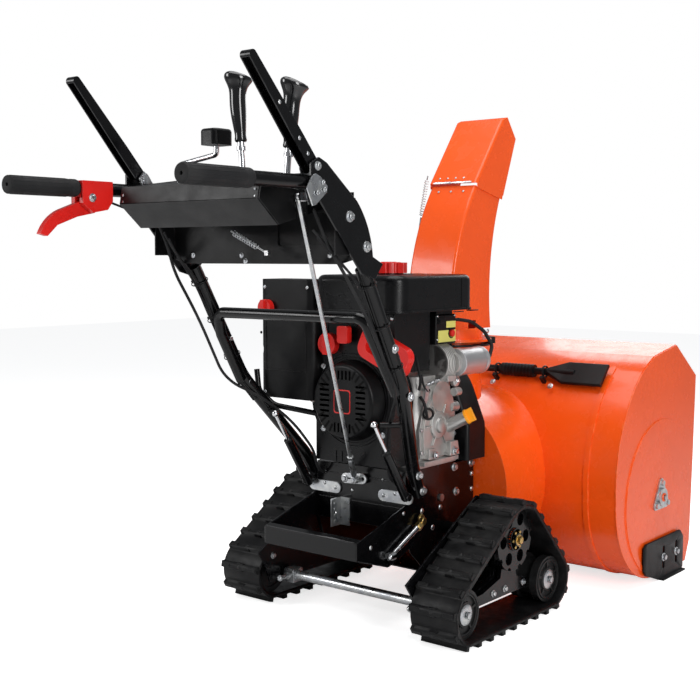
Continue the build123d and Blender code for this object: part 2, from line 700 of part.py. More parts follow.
with BuildPart() as engine_block:
    with Locations((8, 32, 420)):
        Box(216, 140, 190)
    fillet(engine_block.edges().filter_by(Axis.Z), 22)
    with Locations((8, 32, 328.5)):
        Box(226, 142, 11)
    with BuildSketch(Plane.XZ.offset(38)):
        with Locations((0, CRANK_Z)):
            Circle(74)
    extrude(amount=-146)
    head = Plane((-92, 20, 470), z_dir=(-cos(radians(25)), 0, sin(radians(25))), x_dir=(0, 1, 0))
    with BuildSketch(head):
        RectangleRounded(96, 96, 20)
    extrude(amount=118)
    for fin in range(9):
        with BuildSketch(head.offset(12 + fin * 11)):
            RectangleRounded(120, 130, 18)
        extrude(amount=3)
    with Locations((112, 40, 470)):
        Cylinder(34, 30, rotation=(0, 90, 0))
    with Locations((108, 50, 540)):
        Cylinder(38, 40, rotation=(90, 0, 0))
    with BuildSketch(oil_line):
        Circle(14)
    extrude(amount=-70)
    with BuildSketch(oil_line):
        Circle(11 + RUN)
    extrude(amount=-28, mode=Mode.SUBTRACT)
    with Locations((0, 20, CRANK_Z)):
        Cylinder(12.5 + RUN, 400, rotation=(90, 0, 0), mode=Mode.SUBTRACT)
        Cylinder(50, 60, rotation=(90, 0, 0), mode=Mode.SUBTRACT)
engine_block.part.label = "engine_block"
export_step(engine_block.part, "parts/engine_block.step")

SHROUD_REAR = -105.0
SHROUD_LEFT = -84.0
with BuildPart() as engine_shroud:
    with BuildSketch(Plane.XZ.offset(-SHROUD_REAR - 62)):
        with Locations((0, CRANK_Z)):
            Circle(112)
        with Locations((0, 374)):
            Rectangle(200, 86)
        with Locations((SHROUD_LEFT - 50, 553)):
            Rectangle(100, 200, mode=Mode.SUBTRACT)
        with Locations(((SHROUD_LEFT + 110) / 2, 588.5)):
            Rectangle(110 - SHROUD_LEFT, 123)
    extrude(amount=62)
    with BuildSketch(Plane.XZ.offset(-SHROUD_REAR - 62)):
        with Locations((32, 588.5)):
            Rectangle(156, 123)
    extrude(amount=-61)
    with Locations((0, -70, CRANK_Z)):
        Cylinder(98, 62, rotation=(90, 0, 0), mode=Mode.SUBTRACT)
        Cylinder(80, 120, rotation=(90, 0, 0), mode=Mode.SUBTRACT)
    with Locations((32, -40, 583)):
        Box(148, 120, 126, mode=Mode.SUBTRACT)
    with Locations((-63, -70, 590)):
        Box(36, 60, 100, mode=Mode.SUBTRACT)
    add(pipe([(-238, -144, 520), (-232, -144, 474), (-190, -140, 444), (-92, -101, 428)], [22, 45], 6, 0))
engine_shroud.part.label = "engine_shroud"
export_step(engine_shroud.part, "parts/engine_shroud.step")

RECOIL_REAR = -140.0
with BuildPart() as recoil_cover:
    with BuildSketch(Plane.XZ.offset(-SHROUD_REAR + 1)):
        with Locations((0, CRANK_Z)):
            Circle(86)
    extrude(amount=34, taper=14)
    fillet(recoil_cover.faces().sort_by(Axis.Y)[0].edges(), 9)
    with BuildSketch(Plane.XZ.offset(-SHROUD_REAR + 1)):
        with Locations((0, CRANK_Z)):
            Circle(82)
    extrude(amount=30, taper=14, mode=Mode.SUBTRACT)
    with BuildSketch(Plane.XZ.offset(-RECOIL_REAR - 10)):
        for side in SIDES:
            with Locations((side * 48, CRANK_Z)):
                with GridLocations(1, 11, 1, 7):
                    SlotOverall(26, 5)
            with Locations((0, CRANK_Z + side * 55)):
                with GridLocations(10, 1, 5, 1):
                    SlotOverall(20, 5, rotation=90)
    extrude(amount=20, mode=Mode.SUBTRACT)
recoil_cover.part.label = "recoil_cover"
export_step(recoil_cover.part, "parts/recoil_cover.step")

PULL_X, PULL_Y, PULL_Z = 100.0, -122.0, 572.0
with BuildPart() as recoil_grip:
    with BuildSketch(Plane.XZ.offset(-PULL_Y - 9)):
        with Locations(Location((PULL_X, PULL_Z), -24)):
            RectangleRounded(128, 64, 22)
            RectangleRounded(92, 32, 12, mode=Mode.SUBTRACT)
    extrude(amount=20)
    with Locations((PULL_X - 50, PULL_Y + 13, PULL_Z + 22)):
        Cylinder(2.5, 8, rotation=(90, 0, 0))
recoil_grip.part.label = "recoil_grip"
export_step(recoil_grip.part, "parts/recoil_grip.step")

TANK_LEFT, TANK_RIGHT = -80.0, 148.0
TANK_REAR, TANK_FRONT = -145.0, 138.0
TANK_BOTTOM, TANK_TOP = 653.0, 728.0
TANK_WALL = 6.0
CAP_X, CAP_Y = 30.0, -20.0
with BuildPart() as fuel_tank:
    tank_middle = ((TANK_LEFT + TANK_RIGHT) / 2, (TANK_REAR + TANK_FRONT) / 2)
    tank_width = TANK_RIGHT - TANK_LEFT
    tank_depth = TANK_FRONT - TANK_REAR
    with BuildSketch(Plane.XY.offset(TANK_BOTTOM)):
        with Locations(tank_middle):
            RectangleRounded(tank_width, tank_depth, 36)
    extrude(amount=TANK_TOP - TANK_BOTTOM)
    fillet(fuel_tank.faces().sort_by(Axis.Z)[-1].edges(), 14)
    with BuildSketch(Plane.XY.offset(TANK_BOTTOM)):
        with Locations(tank_middle):
            RectangleRounded(tank_width + 6, tank_depth + 6, 39)
    extrude(amount=4)
    with BuildSketch(Plane.XY.offset(TANK_BOTTOM + TANK_WALL)):
        with Locations(tank_middle):
            RectangleRounded(tank_width - 2 * TANK_WALL, tank_depth - 2 * TANK_WALL, 30)
    extrude(amount=TANK_TOP - TANK_BOTTOM - 2 * TANK_WALL - 4, mode=Mode.SUBTRACT)
    with Locations((CAP_X, CAP_Y, TANK_TOP - 1)):
        Cylinder(31, 16)
        Cylinder(27, 40, mode=Mode.SUBTRACT)
fuel_tank.part.label = "fuel_tank"
export_step(fuel_tank.part, "parts/fuel_tank.step")

with BuildPart() as fuel_cap:
    with Locations((CAP_X, CAP_Y, TANK_TOP + 14)):
        Cylinder(39, 22)
        with PolarLocations(40, 12):
            Cylinder(5, 22, mode=Mode.SUBTRACT)
    with Locations((CAP_X, CAP_Y, TANK_TOP + 6)):
        Cylinder(31.4, 20, mode=Mode.SUBTRACT)
    with Locations((CAP_X, CAP_Y, TANK_TOP + 6)):
        Cylinder(26.6, 22)
fuel_cap.part.label = "fuel_cap"
export_step(fuel_cap.part, "parts/fuel_cap.step")

HEATER_LEFT, HEATER_RIGHT = -242.0, -88.0
HEATER_REAR, HEATER_FRONT = -130.0, -50.0
HEATER_BOTTOM, HEATER_TOP = 459.0, 717.0
with BuildPart() as carburettor_cover:
    heater_middle = ((HEATER_LEFT + HEATER_RIGHT) / 2, (HEATER_REAR + HEATER_FRONT) / 2,
                     (HEATER_BOTTOM + HEATER_TOP) / 2)
    heater_width = HEATER_RIGHT - HEATER_LEFT
    heater_height = HEATER_TOP - HEATER_BOTTOM
    with Locations(heater_middle):
        Box(heater_width, HEATER_FRONT - HEATER_REAR, heater_height)
    fillet(carburettor_cover.edges().filter_by(Axis.Z).sort_by(Axis.Y)[:2], 18)
    with BuildSketch(Plane.XY.offset(HEATER_BOTTOM + 4)):
        with Locations((heater_middle[0], HEATER_REAR + 4 + 60)):
            RectangleRounded(heater_width - 8, 120, 14)
    extrude(amount=heater_height - 8, mode=Mode.SUBTRACT)
    with Locations((HEATER_LEFT - 2, HEATER_REAR, 563)):
        Cylinder(12, 60, rotation=(90, 0, 0), mode=Mode.SUBTRACT)
carburettor_cover.part.label = "carburettor_cover"
export_step(carburettor_cover.part, "parts/carburettor_cover.step")

with BuildPart() as muffler:
    with Locations((-152, 38, 614)):
        Box(118, 120, 64)
    fillet(muffler.edges().filter_by(Axis.Y), 24)
    with Locations((-190, 104, 608)):
        Cylinder(14, 30, rotation=(90, 0, 0))
        Cylinder(11, 40, rotation=(90, 0, 0), mode=Mode.SUBTRACT)
muffler.part.label = "muffler"
export_step(muffler.part, "parts/muffler.step")

with BuildPart() as oil_cap:
    with BuildSketch(oil_line):
        Circle(11)
    extrude(amount=-24)
    with BuildSketch(oil_line):
        Circle(16)
    extrude(amount=4)
    with BuildSketch(oil_line.offset(4)):
        RectangleRounded(30, 10, 4)
    extrude(amount=14)
oil_cap.part.label = "oil_cap"
export_step(oil_cap.part, "parts/oil_cap.step")

STARTER_X, STARTER_Z = 137.0, 540.0
with BuildPart() as starter_motor:
    with Locations((STARTER_X, 122, STARTER_Z)):
        Cylinder(29, 98, rotation=(90, 0, 0))
    fillet(starter_motor.edges().filter_by(GeomType.CIRCLE), 4)
    with Locations((STARTER_X, 176, STARTER_Z)):
        Cylinder(9, 16, rotation=(90, 0, 0))
starter_motor.part.label = "starter_motor"
export_step(starter_motor.part, "parts/starter_motor.step")

SWITCH_Y, SWITCH_Z = 66.0, 611.0
with BuildPart() as starter_switch_box:
    with Locations((99, SWITCH_Y, SWITCH_Z)):
        Box(40, 76, 64)
    fillet(starter_switch_box.edges(), 4)
    with Locations((117, SWITCH_Y + 18, SWITCH_Z - 9)):
        Cylinder(8.5, 26, rotation=(0, 90, 0), mode=Mode.SUBTRACT)
    with Locations((99, SWITCH_Y, SWITCH_Z + 36.5)):
        Box(30, 60, 9)
starter_switch_box.part.label = "starter_switch_box"
export_step(starter_switch_box.part, "parts/starter_switch_box.step")

with BuildPart() as starter_button:
    with Locations((117, SWITCH_Y + 18, SWITCH_Z - 9)):
        Cylinder(7.5, 16, rotation=(0, 90, 0))
starter_button.part.label = "starter_button"
export_step(starter_button.part, "parts/starter_button.step")

with BuildPart() as starter_lead:
    add(pipe([(99, 104.2, 628), (99, 142, 628), (106, 184, 622), (122, 212, 600), (STARTER_X, 223, 568),
              (STARTER_X, 210, STARTER_Z), (STARTER_X, 184.2, STARTER_Z)], [50, 36, 28, 20, 14], 4, 0))
starter_lead.part.label = "starter_lead"
export_step(starter_lead.part, "parts/starter_lead.step")

with BuildPart() as choke_knob:
    with Locations((-58, SHROUD_REAR - 8.5, 582)):
        Cylinder(23, 16, rotation=(90, 0, 0))
        with Locations((0, -5, 0)):
            Box(12, 18, 44)
choke_knob.part.label = "choke_knob"
export_step(choke_knob.part, "parts/choke_knob.step")

with BuildPart() as throttle_lever:
    with Locations((-8, SHROUD_REAR - 18, 604)):
        Box(28, 14, 36)
    fillet(throttle_lever.edges().filter_by(Axis.Y), 6)
    with Locations((-8, SHROUD_REAR - 6, 600)):
        Cylinder(5, 11, rotation=(90, 0, 0))
throttle_lever.part.label = "throttle_lever"
export_step(throttle_lever.part, "parts/throttle_lever.step")

with BuildPart() as ignition_knob:
    with Locations((-216, HEATER_REAR - 7.5, 655)):
        Cylinder(18, 14, rotation=(90, 0, 0))
        with Locations((0, -4.5, 0)):
            Box(10, 18, 34)
ignition_knob.part.label = "ignition_knob"
export_step(ignition_knob.part, "parts/ignition_knob.step")

# ---------------------------------------------------------------- handle frame
TUBE = 14.0
GRIP_TUBE = 12.7
BRACE_Y, BRACE_TOP = -308.0, 652.0
SPRING_FOOT = (131.0, -96.0, 276.0)
SPRING_HEAD = (131.0, -201.0, 437.0)
with BuildPart() as handle_tubes:
    for side in SIDES:
        add(pipe([(side * 134, -52, 276), (side * 146, -92, 340), (side * 212, -216, 512),
                  (side * 217.5, -348, 745)], [60, 160], TUBE, 2))
        add(pipe([(side * GRIP_X, -440, GRIP_Z), (side * GRIP_X, -775, GRIP_Z)], [], GRIP_TUBE, 2))
        add(rod_between((side * 178, -166, 437), (side * (SPRING_HEAD[0] + 12), SPRING_HEAD[1] + 3, 437), 6))
    add(pipe([(-204, -228, 506), (-200, -290, 606), (-190, BRACE_Y, BRACE_TOP), (190, BRACE_Y, BRACE_TOP),
              (200, -290, 606), (204, -228, 506)], [30, 22, 22, 30], 11, 2))
handle_tubes.part.label = "handle_tubes"
export_step(handle_tubes.part, "parts/handle_tubes.step")

LEVER_Y, LEVER_Z = -492.0, 917.0    # hinge of the drive levers
LEVER_RISE = radians(48.2)
LEVER_REACH = 229.0
with BuildPart() as handle_plates:
    for side in SIDES:
        with BuildSketch(Plane.YZ.offset(side * PLATE_X)):
            with BuildLine():
                Polyline((-508, 885), (-508, 922), (-488, 932), (-468, 924), (-425, 892), (-385, 862))
                ThreePointArc((-385, 862), (-352, 812), (-340, 765))
                Polyline((-340, 765), (-311, 752), (-334, 725), (-372, 735), (-490, 865), (-508, 885))
            make_face()
            with Locations((LEVER_Y, LEVER_Z)):
                Circle(4 + RUN, mode=Mode.SUBTRACT)
        extrude(amount=side * 4)
handle_plates.part.label = "handle_plates"
export_step(handle_plates.part, "parts/handle_plates.step")

CONSOLE_HALF = 174.0
SPEED_Y, SPEED_Z = -448.0, 868.0    # cross shaft of the speed lever
STICK_Y, STICK_Z = -475.0, 850.0    # ball joints of the chute joysticks
STICK_LEFT, STICK_RIGHT = 50.0, 146.0
CONSOLE_SKIN = ((-523, 820), (-572, 862), (-566, 892), (-420, 912), (-404, 905))
with BuildPart() as console:
    with BuildSketch(Plane.YZ):
        with BuildLine():
            Polyline(*CONSOLE_SKIN, (-404, 880))
        trace(line_width=SHEET)
    extrude(amount=CONSOLE_HALF, both=True)
    for side in SIDES:
        with BuildSketch(Plane.YZ.offset(side * CONSOLE_HALF)):
            with BuildLine():
                Polyline(*CONSOLE_SKIN, (-404, 850), CONSOLE_SKIN[0])
            make_face()
        extrude(amount=side * SHEET)
    for stick_x in (STICK_LEFT, STICK_RIGHT):
        with Locations((stick_x, STICK_Y, 905)):
            Box(46, 90, 40, mode=Mode.SUBTRACT)
    with Locations((-150, SPEED_Y, 905)):
        Box(14, 74, 40, mode=Mode.SUBTRACT)
    with Locations((CONSOLE_HALF, SPEED_Y, SPEED_Z)):
        Cylinder(7 + GAP, 20, rotation=(0, 90, 0), mode=Mode.SUBTRACT)
    with Locations((CONSOLE_HALF, SPEED_Y - 18, 840)):
        Box(20, 30, 52, mode=Mode.SUBTRACT)
    with BuildSketch(Plane.XZ.offset(386)):
        with BuildLine():
            Polyline((-229, 760), (-200, 752), (200, 752), (229, 760), (229, 878), (-229, 878), (-229, 760))
        make_face()
        with Locations((110, 815)):
            RectangleRounded(120, 60, 8, mode=Mode.SUBTRACT)
    extrude(amount=SHEET)
    with BuildSketch(Plane.XZ.offset(386 - SHEET)):
        with Locations((110, 815)):
            RectangleRounded(126, 66, 8)
    extrude(amount=SHEET)
    for side in SIDES:
        with Locations((side * 229.5, -412, 818)):
            Box(SHEET, 56, 100)
console.part.label = "console"
export_step(console.part, "parts/console.step")

with BuildPart() as handle_grips:
    for side in SIDES:
        with Locations((side * GRIP_X, -712, GRIP_Z)):
            Cylinder(GRIP_RADIUS, 146, rotation=(90, 0, 0))
            with Locations((0, 5, 0)):
                Cylinder(GRIP_TUBE + RUN, 146, rotation=(90, 0, 0), mode=Mode.SUBTRACT)
handle_grips.part.label = "handle_grips"
export_step(handle_grips.part, "parts/handle_grips.step")


def drive_lever(side):
    """A folded channel lever, open towards the grip, with its hinge pin and cable crank."""
    lever_side = Plane((side * GRIP_X, LEVER_Y, LEVER_Z), z_dir=(1, 0, 0),
                       x_dir=(0, -cos(LEVER_RISE), sin(LEVER_RISE)))
    with BuildPart() as lever:
        with BuildSketch(lever_side):
            with BuildLine():
                Polyline((0, 12), (60, 11.5), (LEVER_REACH - 7, 8))
                ThreePointArc((LEVER_REACH - 7, 8), (LEVER_REACH, 0), (LEVER_REACH - 7, -8))
                Polyline((LEVER_REACH - 7, -8), (60, -12), (0, -12))
                ThreePointArc((0, -12), (-12, 0), (0, 12))
            make_face()
        extrude(amount=11, both=True)
        with BuildSketch(lever_side):
            with BuildLine():
                tip = LEVER_REACH - 7
                Polyline((-20, -9), (60, -9), (tip, -5), (tip, 30), (-20, 30), (-20, -9))
            make_face()
        extrude(amount=8.5, both=True, mode=Mode.SUBTRACT)
        with BuildSketch(Plane.YZ.offset(side * (GRIP_X - 17))):
            with Locations((LEVER_Y, LEVER_Z)):
                Circle(4)
        extrude(amount=side * 37)
        with BuildSketch(Plane.YZ.offset(side * (GRIP_X - 17))):
            with BuildLine():
                Polyline((-501, 915), (-490, 928), (-480, 922), (-449, 880), (-450, 860), (-478, 854),
                         (-501, 915))
            make_face()
            with Locations((-462, 864)):
                Circle(3, mode=Mode.SUBTRACT)
        extrude(amount=side * 2.5)
    return lever.part


with BuildPart() as lever_left:
    add(drive_lever(-1))
lever_left.part.label = "lever_left"
export_step(lever_left.part, "parts/lever_left.step")

with BuildPart() as lever_right:
    add(drive_lever(1))
lever_right.part.label = "lever_right"
export_step(lever_right.part, "parts/lever_right.step")

TRIGGER_Y, TRIGGER_Z = -612.0, 857.0
with BuildPart() as trigger_bracket:
    with BuildSketch(Plane.YZ.offset(-GRIP_X - 17)):
        with BuildLine():
            Polyline((-636, 876), (-636, 862), (-612, 846), (-578, 852), (-566, 868), (-566, 904),
                     (-636, 904), (-636, 876))
        make_face()
    extrude(amount=34)
    with Locations((-GRIP_X, -600, GRIP_Z)):
        Cylinder(GRIP_TUBE + RUN, 120, rotation=(90, 0, 0), mode=Mode.SUBTRACT)
    with Locations((-GRIP_X, -610, 858)):
        Box(14, 70, 34, mode=Mode.SUBTRACT)
    with Locations((-GRIP_X, TRIGGER_Y, TRIGGER_Z)):
        Cylinder(3, 34, rotation=(0, 90, 0))
trigger_bracket.part.label = "trigger_bracket"
export_step(trigger_bracket.part, "parts/trigger_bracket.step")

with BuildPart() as red_trigger:
    with BuildSketch(Plane.YZ.offset(-GRIP_X - 6)):
        with BuildLine():
            Polyline((-596, 866), (-628, 868), (-672, 852))
            ThreePointArc((-672, 852), (-700, 836), (-722, 806))
            Polyline((-722, 806), (-706, 802), (-684, 822), (-640, 838), (-600, 846), (-596, 866))
        make_face()
        with Locations((TRIGGER_Y, TRIGGER_Z)):
            Circle(3 + RUN, mode=Mode.SUBTRACT)
    extrude(amount=12)
red_trigger.part.label = "red_trigger"
export_step(red_trigger.part, "parts/red_trigger.step")


def joystick(x, lean):
    """A chute control stick that leans sideways: ball, rod and hand grip."""
    foot = Plane((x, STICK_Y, STICK_Z), z_dir=(tan(radians(lean)), 0, 1))
    with BuildPart() as stick:
        with BuildSketch(foot):
            Circle(5.5)
        extrude(amount=125)
        with Locations(foot.location):
            Sphere(9)
        for height, radius in ((118, 11), (172, 14), (226, 20), (246, 21)):
            with BuildSketch(foot.offset(height)):
                Circle(radius)
        loft()
        fillet(stick.faces().sort_by(Axis.Z)[-1].edges(), 9)
    return stick.part


with BuildPart() as joystick_left:
    add(joystick(STICK_LEFT, -4))
joystick_left.part.label = "joystick_left"
export_step(joystick_left.part, "parts/joystick_left.step")

with BuildPart() as joystick_right:
    add(joystick(STICK_RIGHT, 6))
joystick_right.part.label = "joystick_right"
export_step(joystick_right.part, "parts/joystick_right.step")

KNOB_X = -48.0
ROD_TOP = (184, SPEED_Y - 36, SPEED_Z)
ROD_FOOT = (0, -97, 296)
with BuildPart() as speed_lever:
    with Locations((18, SPEED_Y, SPEED_Z)):
        Cylinder(7, 352, rotation=(0, 90, 0))
    add(pipe([(-150, SPEED_Y, SPEED_Z), (-150, SPEED_Y, 940), (KNOB_X, SPEED_Y, 954), (KNOB_X, SPEED_Y, 974)],
             [12, 8], 5, 0))
    with Locations((KNOB_X, SPEED_Y, 986)):
        Box(44, 50, 30)
    fillet(speed_lever.edges().filter_by(lambda e: e.center().Z > 970).filter_by(Axis.Z), 12)
    fillet(speed_lever.faces().sort_by(Axis.Z)[-1].edges(), 6)
    with Locations((ROD_TOP[0] + 9, SPEED_Y - 17, SPEED_Z)):
        Box(4, 48, 14)
speed_lever.part.label = "speed_lever"
export_step(speed_lever.part, "parts/speed_lever.step")

with BuildPart() as speed_rod:
    add(rod_between(ROD_TOP, ROD_FOOT, 4))
    with Locations(ROD_TOP):
        Sphere(5.8)
    with Locations(ROD_FOOT):
        Cylinder(8, 10, rotation=(90, 0, 0))
speed_rod.part.label = "speed_rod"
export_step(speed_rod.part, "parts/speed_rod.step")

with BuildPart() as speed_arm:
    with BuildSketch(Plane.XZ.offset(83)):
        with Locations(Location((-10, ROD_FOOT[2]), 4)):
            SlotOverall(68, 22)
            with Locations((-24, 0), (24, 0)):
                Circle(4, mode=Mode.SUBTRACT)
    extrude(amount=6)
speed_arm.part.label = "speed_arm"
export_step(speed_arm.part, "parts/speed_arm.step")


def spring_points(side):
    """Foot and head of one gas spring."""
    foot = Vector(side * SPRING_FOOT[0], SPRING_FOOT[1], SPRING_FOOT[2])
    top = Vector(side * SPRING_HEAD[0], SPRING_HEAD[1], SPRING_HEAD[2])
    return foot, top


with BuildPart() as gas_cylinders:
    for side in SIDES:
        foot, top = spring_points(side)
        along = top - foot
        add(rod_between(foot, foot + along * 0.62, 9.5))
        with Locations(foot):
            Sphere(10)
        add(rod_between(foot + along * 0.1, foot + along * 0.63, 4 + RUN), mode=Mode.SUBTRACT)
gas_cylinders.part.label = "gas_cylinders"
export_step(gas_cylinders.part, "parts/gas_cylinders.step")

with BuildPart() as gas_rods:
    for side in SIDES:
        foot, top = spring_points(side)
        add(rod_between(foot + (top - foot) * 0.3, top, 4))
        with Locations(top):
            Sphere(7)
gas_rods.part.label = "gas_rods"
export_step(gas_rods.part, "parts/gas_rods.step")


def easy_bends(points):
    """The largest radius that each corner of a cable's route has room for."""
    bends = []
    for before, corner, after in zip(points, points[1:], points[2:]):
        first = Vector(*corner) - Vector(*before)
        second = Vector(*after) - Vector(*corner)
        half_turn = radians(first.get_angle(second) / 2)
        bends.append(0.45 * min(first.length, second.length) / tan(half_turn))
    return bends


with BuildPart() as control_cables:
    for side in SIDES:
        route = [(side * x, y, z) for x, y, z in (
            (203, -464, 846), (204, -432, 790), (219, -400, 735), (224, -330, 640), (226, -254, 506),
            (172, -196, 468), (124, -150, 412), (99, -115, 352), (97, -105, 312), (97, -81.5, 298))]
        add(pipe(route, easy_bends(route), 3, 0))
control_cables.part.label = "control_cables"
export_step(control_cables.part, "parts/control_cables.step")

# ---------------------------------------------------------------- zinc hardware
BOLTS = ((101, 309), (168, 309), (108, 254), (150, 160))    # (y, z) on each chassis side
STRUT_HEAD, STRUT_FOOT = (131, -44, 209), (131, -146, 163)
ZINC_PLATE_Z = 269.0            # plates that hold the feet of the gas springs
with BuildPart() as zinc_hardware:
    for side in SIDES:
        with BuildSketch(Plane.YZ.offset(side * HALF)):
            with Locations((AUGER_Y, AUGER_Z)):
                Circle(24)
                with PolarLocations(34, 3, 90):
                    Circle(11)
            make_hull()
            with Locations((AUGER_Y, AUGER_Z)):
                Circle(10 + RUN, mode=Mode.SUBTRACT)
        extrude(amount=side * 4)
        with BuildSketch(Plane.YZ.offset(side * (HALF + 4))):
            with Locations((AUGER_Y, AUGER_Z)):
                Circle(22)
                Circle(10 + RUN, mode=Mode.SUBTRACT)
                with PolarLocations(34, 3, 90):
                    Circle(6.5)
        extrude(amount=side * 6)
        for bolt in BOLTS:
            with BuildSketch(Plane.YZ.offset(side * CHASSIS_HALF)):
                with Locations(bolt):
                    Circle(7)
            extrude(amount=side * 4, taper=25)
        with BuildSketch(Plane.XZ.offset(-CHASSIS_REAR)):
            with Locations((side * 95, ZINC_PLATE_Z)):
                SlotOverall(88, 24)
        extrude(amount=4)
        with Locations((side * SPRING_FOOT[0], CHASSIS_REAR - 3.3, ZINC_PLATE_Z)):
            Cylinder(4, 5, rotation=(90, 0, 0))
    with Locations((-52, CHASSIS_REAR - 17, 220)):
        Box(3, 34, 60)
    with Locations((-40, CHASSIS_REAR - 1.5, 220)):
        Box(26, 3, 60)
    with Locations((-52, CHASSIS_REAR - 22, 220)):
        with GridLocations(1, 14, 1, 1):
            Cylinder(4, 10, rotation=(0, 90, 0), mode=Mode.SUBTRACT)
    add(rod_between(STRUT_HEAD, STRUT_FOOT, 5))
    with Locations(STRUT_HEAD, STRUT_FOOT):
        Sphere(7)
zinc_hardware.part.label = "zinc_hardware"
export_step(zinc_hardware.part, "parts/zinc_hardware.step")
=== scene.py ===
import bpy
import bmesh
from math import cos, sin, pi, radians, hypot, atan2, asin
from mathutils import Vector, Matrix


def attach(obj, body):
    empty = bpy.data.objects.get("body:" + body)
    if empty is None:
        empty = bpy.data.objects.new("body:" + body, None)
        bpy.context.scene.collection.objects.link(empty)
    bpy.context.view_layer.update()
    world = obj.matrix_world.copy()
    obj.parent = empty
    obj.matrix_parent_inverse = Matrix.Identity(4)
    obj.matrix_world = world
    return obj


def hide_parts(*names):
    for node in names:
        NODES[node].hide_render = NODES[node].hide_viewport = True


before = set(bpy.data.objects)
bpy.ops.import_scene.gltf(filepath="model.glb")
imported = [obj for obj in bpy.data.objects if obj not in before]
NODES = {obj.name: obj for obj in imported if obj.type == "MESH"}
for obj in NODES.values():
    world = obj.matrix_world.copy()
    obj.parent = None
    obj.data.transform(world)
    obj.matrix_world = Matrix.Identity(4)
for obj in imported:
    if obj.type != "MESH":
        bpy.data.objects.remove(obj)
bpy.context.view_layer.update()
scene = bpy.context.scene
MM = 0.001


# ---- camera, light, floor
def place_camera():
    data = bpy.data.cameras.new("camera")
    data.sensor_width = 36
    data.lens = 59.14
    data.clip_end = 50
    camera = bpy.data.objects.new("camera", data)
    camera.location = (1.4976, -1.9694, 0.7662)
    camera.rotation_euler = (radians(85.34), 0, radians(38.9))
    scene.collection.objects.link(camera)
    scene.camera = camera


def soft_light(name, place, target, width, height, power):
    data = bpy.data.lights.new(name, "AREA")
    data.shape = "RECTANGLE"
    data.size, data.size_y = width, height
    data.energy = power
    light = bpy.data.objects.new(name, data)
    light.location = place
    light.rotation_euler = (Vector(target) - Vector(place)).to_track_quat("-Z", "Y").to_euler()
    scene.collection.objects.link(light)


def place_lights():
    world = bpy.data.worlds.new("studio")
    scene.world = world
    world.use_nodes = True
    tree = world.node_tree
    tree.nodes.clear()
    out = tree.nodes.new("ShaderNodeOutputWorld")
    mix = tree.nodes.new("ShaderNodeMixShader")
    path = tree.nodes.new("ShaderNodeLightPath")
    for index, (colour, strength) in enumerate((((0.95, 0.97, 1.0), 0.24), ((1, 1, 1), 1.0))):
        back = tree.nodes.new("ShaderNodeBackground")
        back.inputs["Color"].default_value = (*colour, 1)
        back.inputs["Strength"].default_value = strength
        tree.links.new(back.outputs[0], mix.inputs[index + 1])
    tree.links.new(path.outputs["Is Camera Ray"], mix.inputs[0])
    tree.links.new(mix.outputs[0], out.inputs[0])
    middle = (0, 0, 0.5)
    soft_light("top_light", (0.1, 0.0, 2.9), middle, 2.2, 2.2, 46)
    soft_light("left_light", (-1.9, -2.4, 1.5), middle, 1.0, 1.2, 30)
    soft_light("right_light", (3.0, -1.3, 1.5), middle, 1.0, 1.8, 58)
    soft_light("front_light", (-0.6, 3.0, 2.0), middle, 1.6, 1.4, 20)


def place_floor():
    mesh = bpy.data.meshes.new("floor")
    mesh.from_pydata([(-9, -9, 0), (9, -9, 0), (9, 9, 0), (-9, 9, 0)], [], [(0, 1, 2, 3)])
    floor = bpy.data.objects.new("floor", mesh)
    scene.collection.objects.link(floor)
    pale = bpy.data.materials.new("pale_floor")
    pale.use_nodes = True
    shader = pale.node_tree.nodes["Principled BSDF"]
    shader.inputs["Base Color"].default_value = (0.93, 0.93, 0.93, 1)
    shader.inputs["Roughness"].default_value = 0.9
    shader.inputs["Specular IOR Level"].default_value = 0.1
    path = pale.node_tree.nodes.new("ShaderNodeLightPath")
    pale.node_tree.links.new(path.outputs["Is Camera Ray"], shader.inputs["Emission Strength"])
    shader.inputs["Emission Color"].default_value = (0.72, 0.72, 0.72, 1)
    mesh.materials.append(pale)


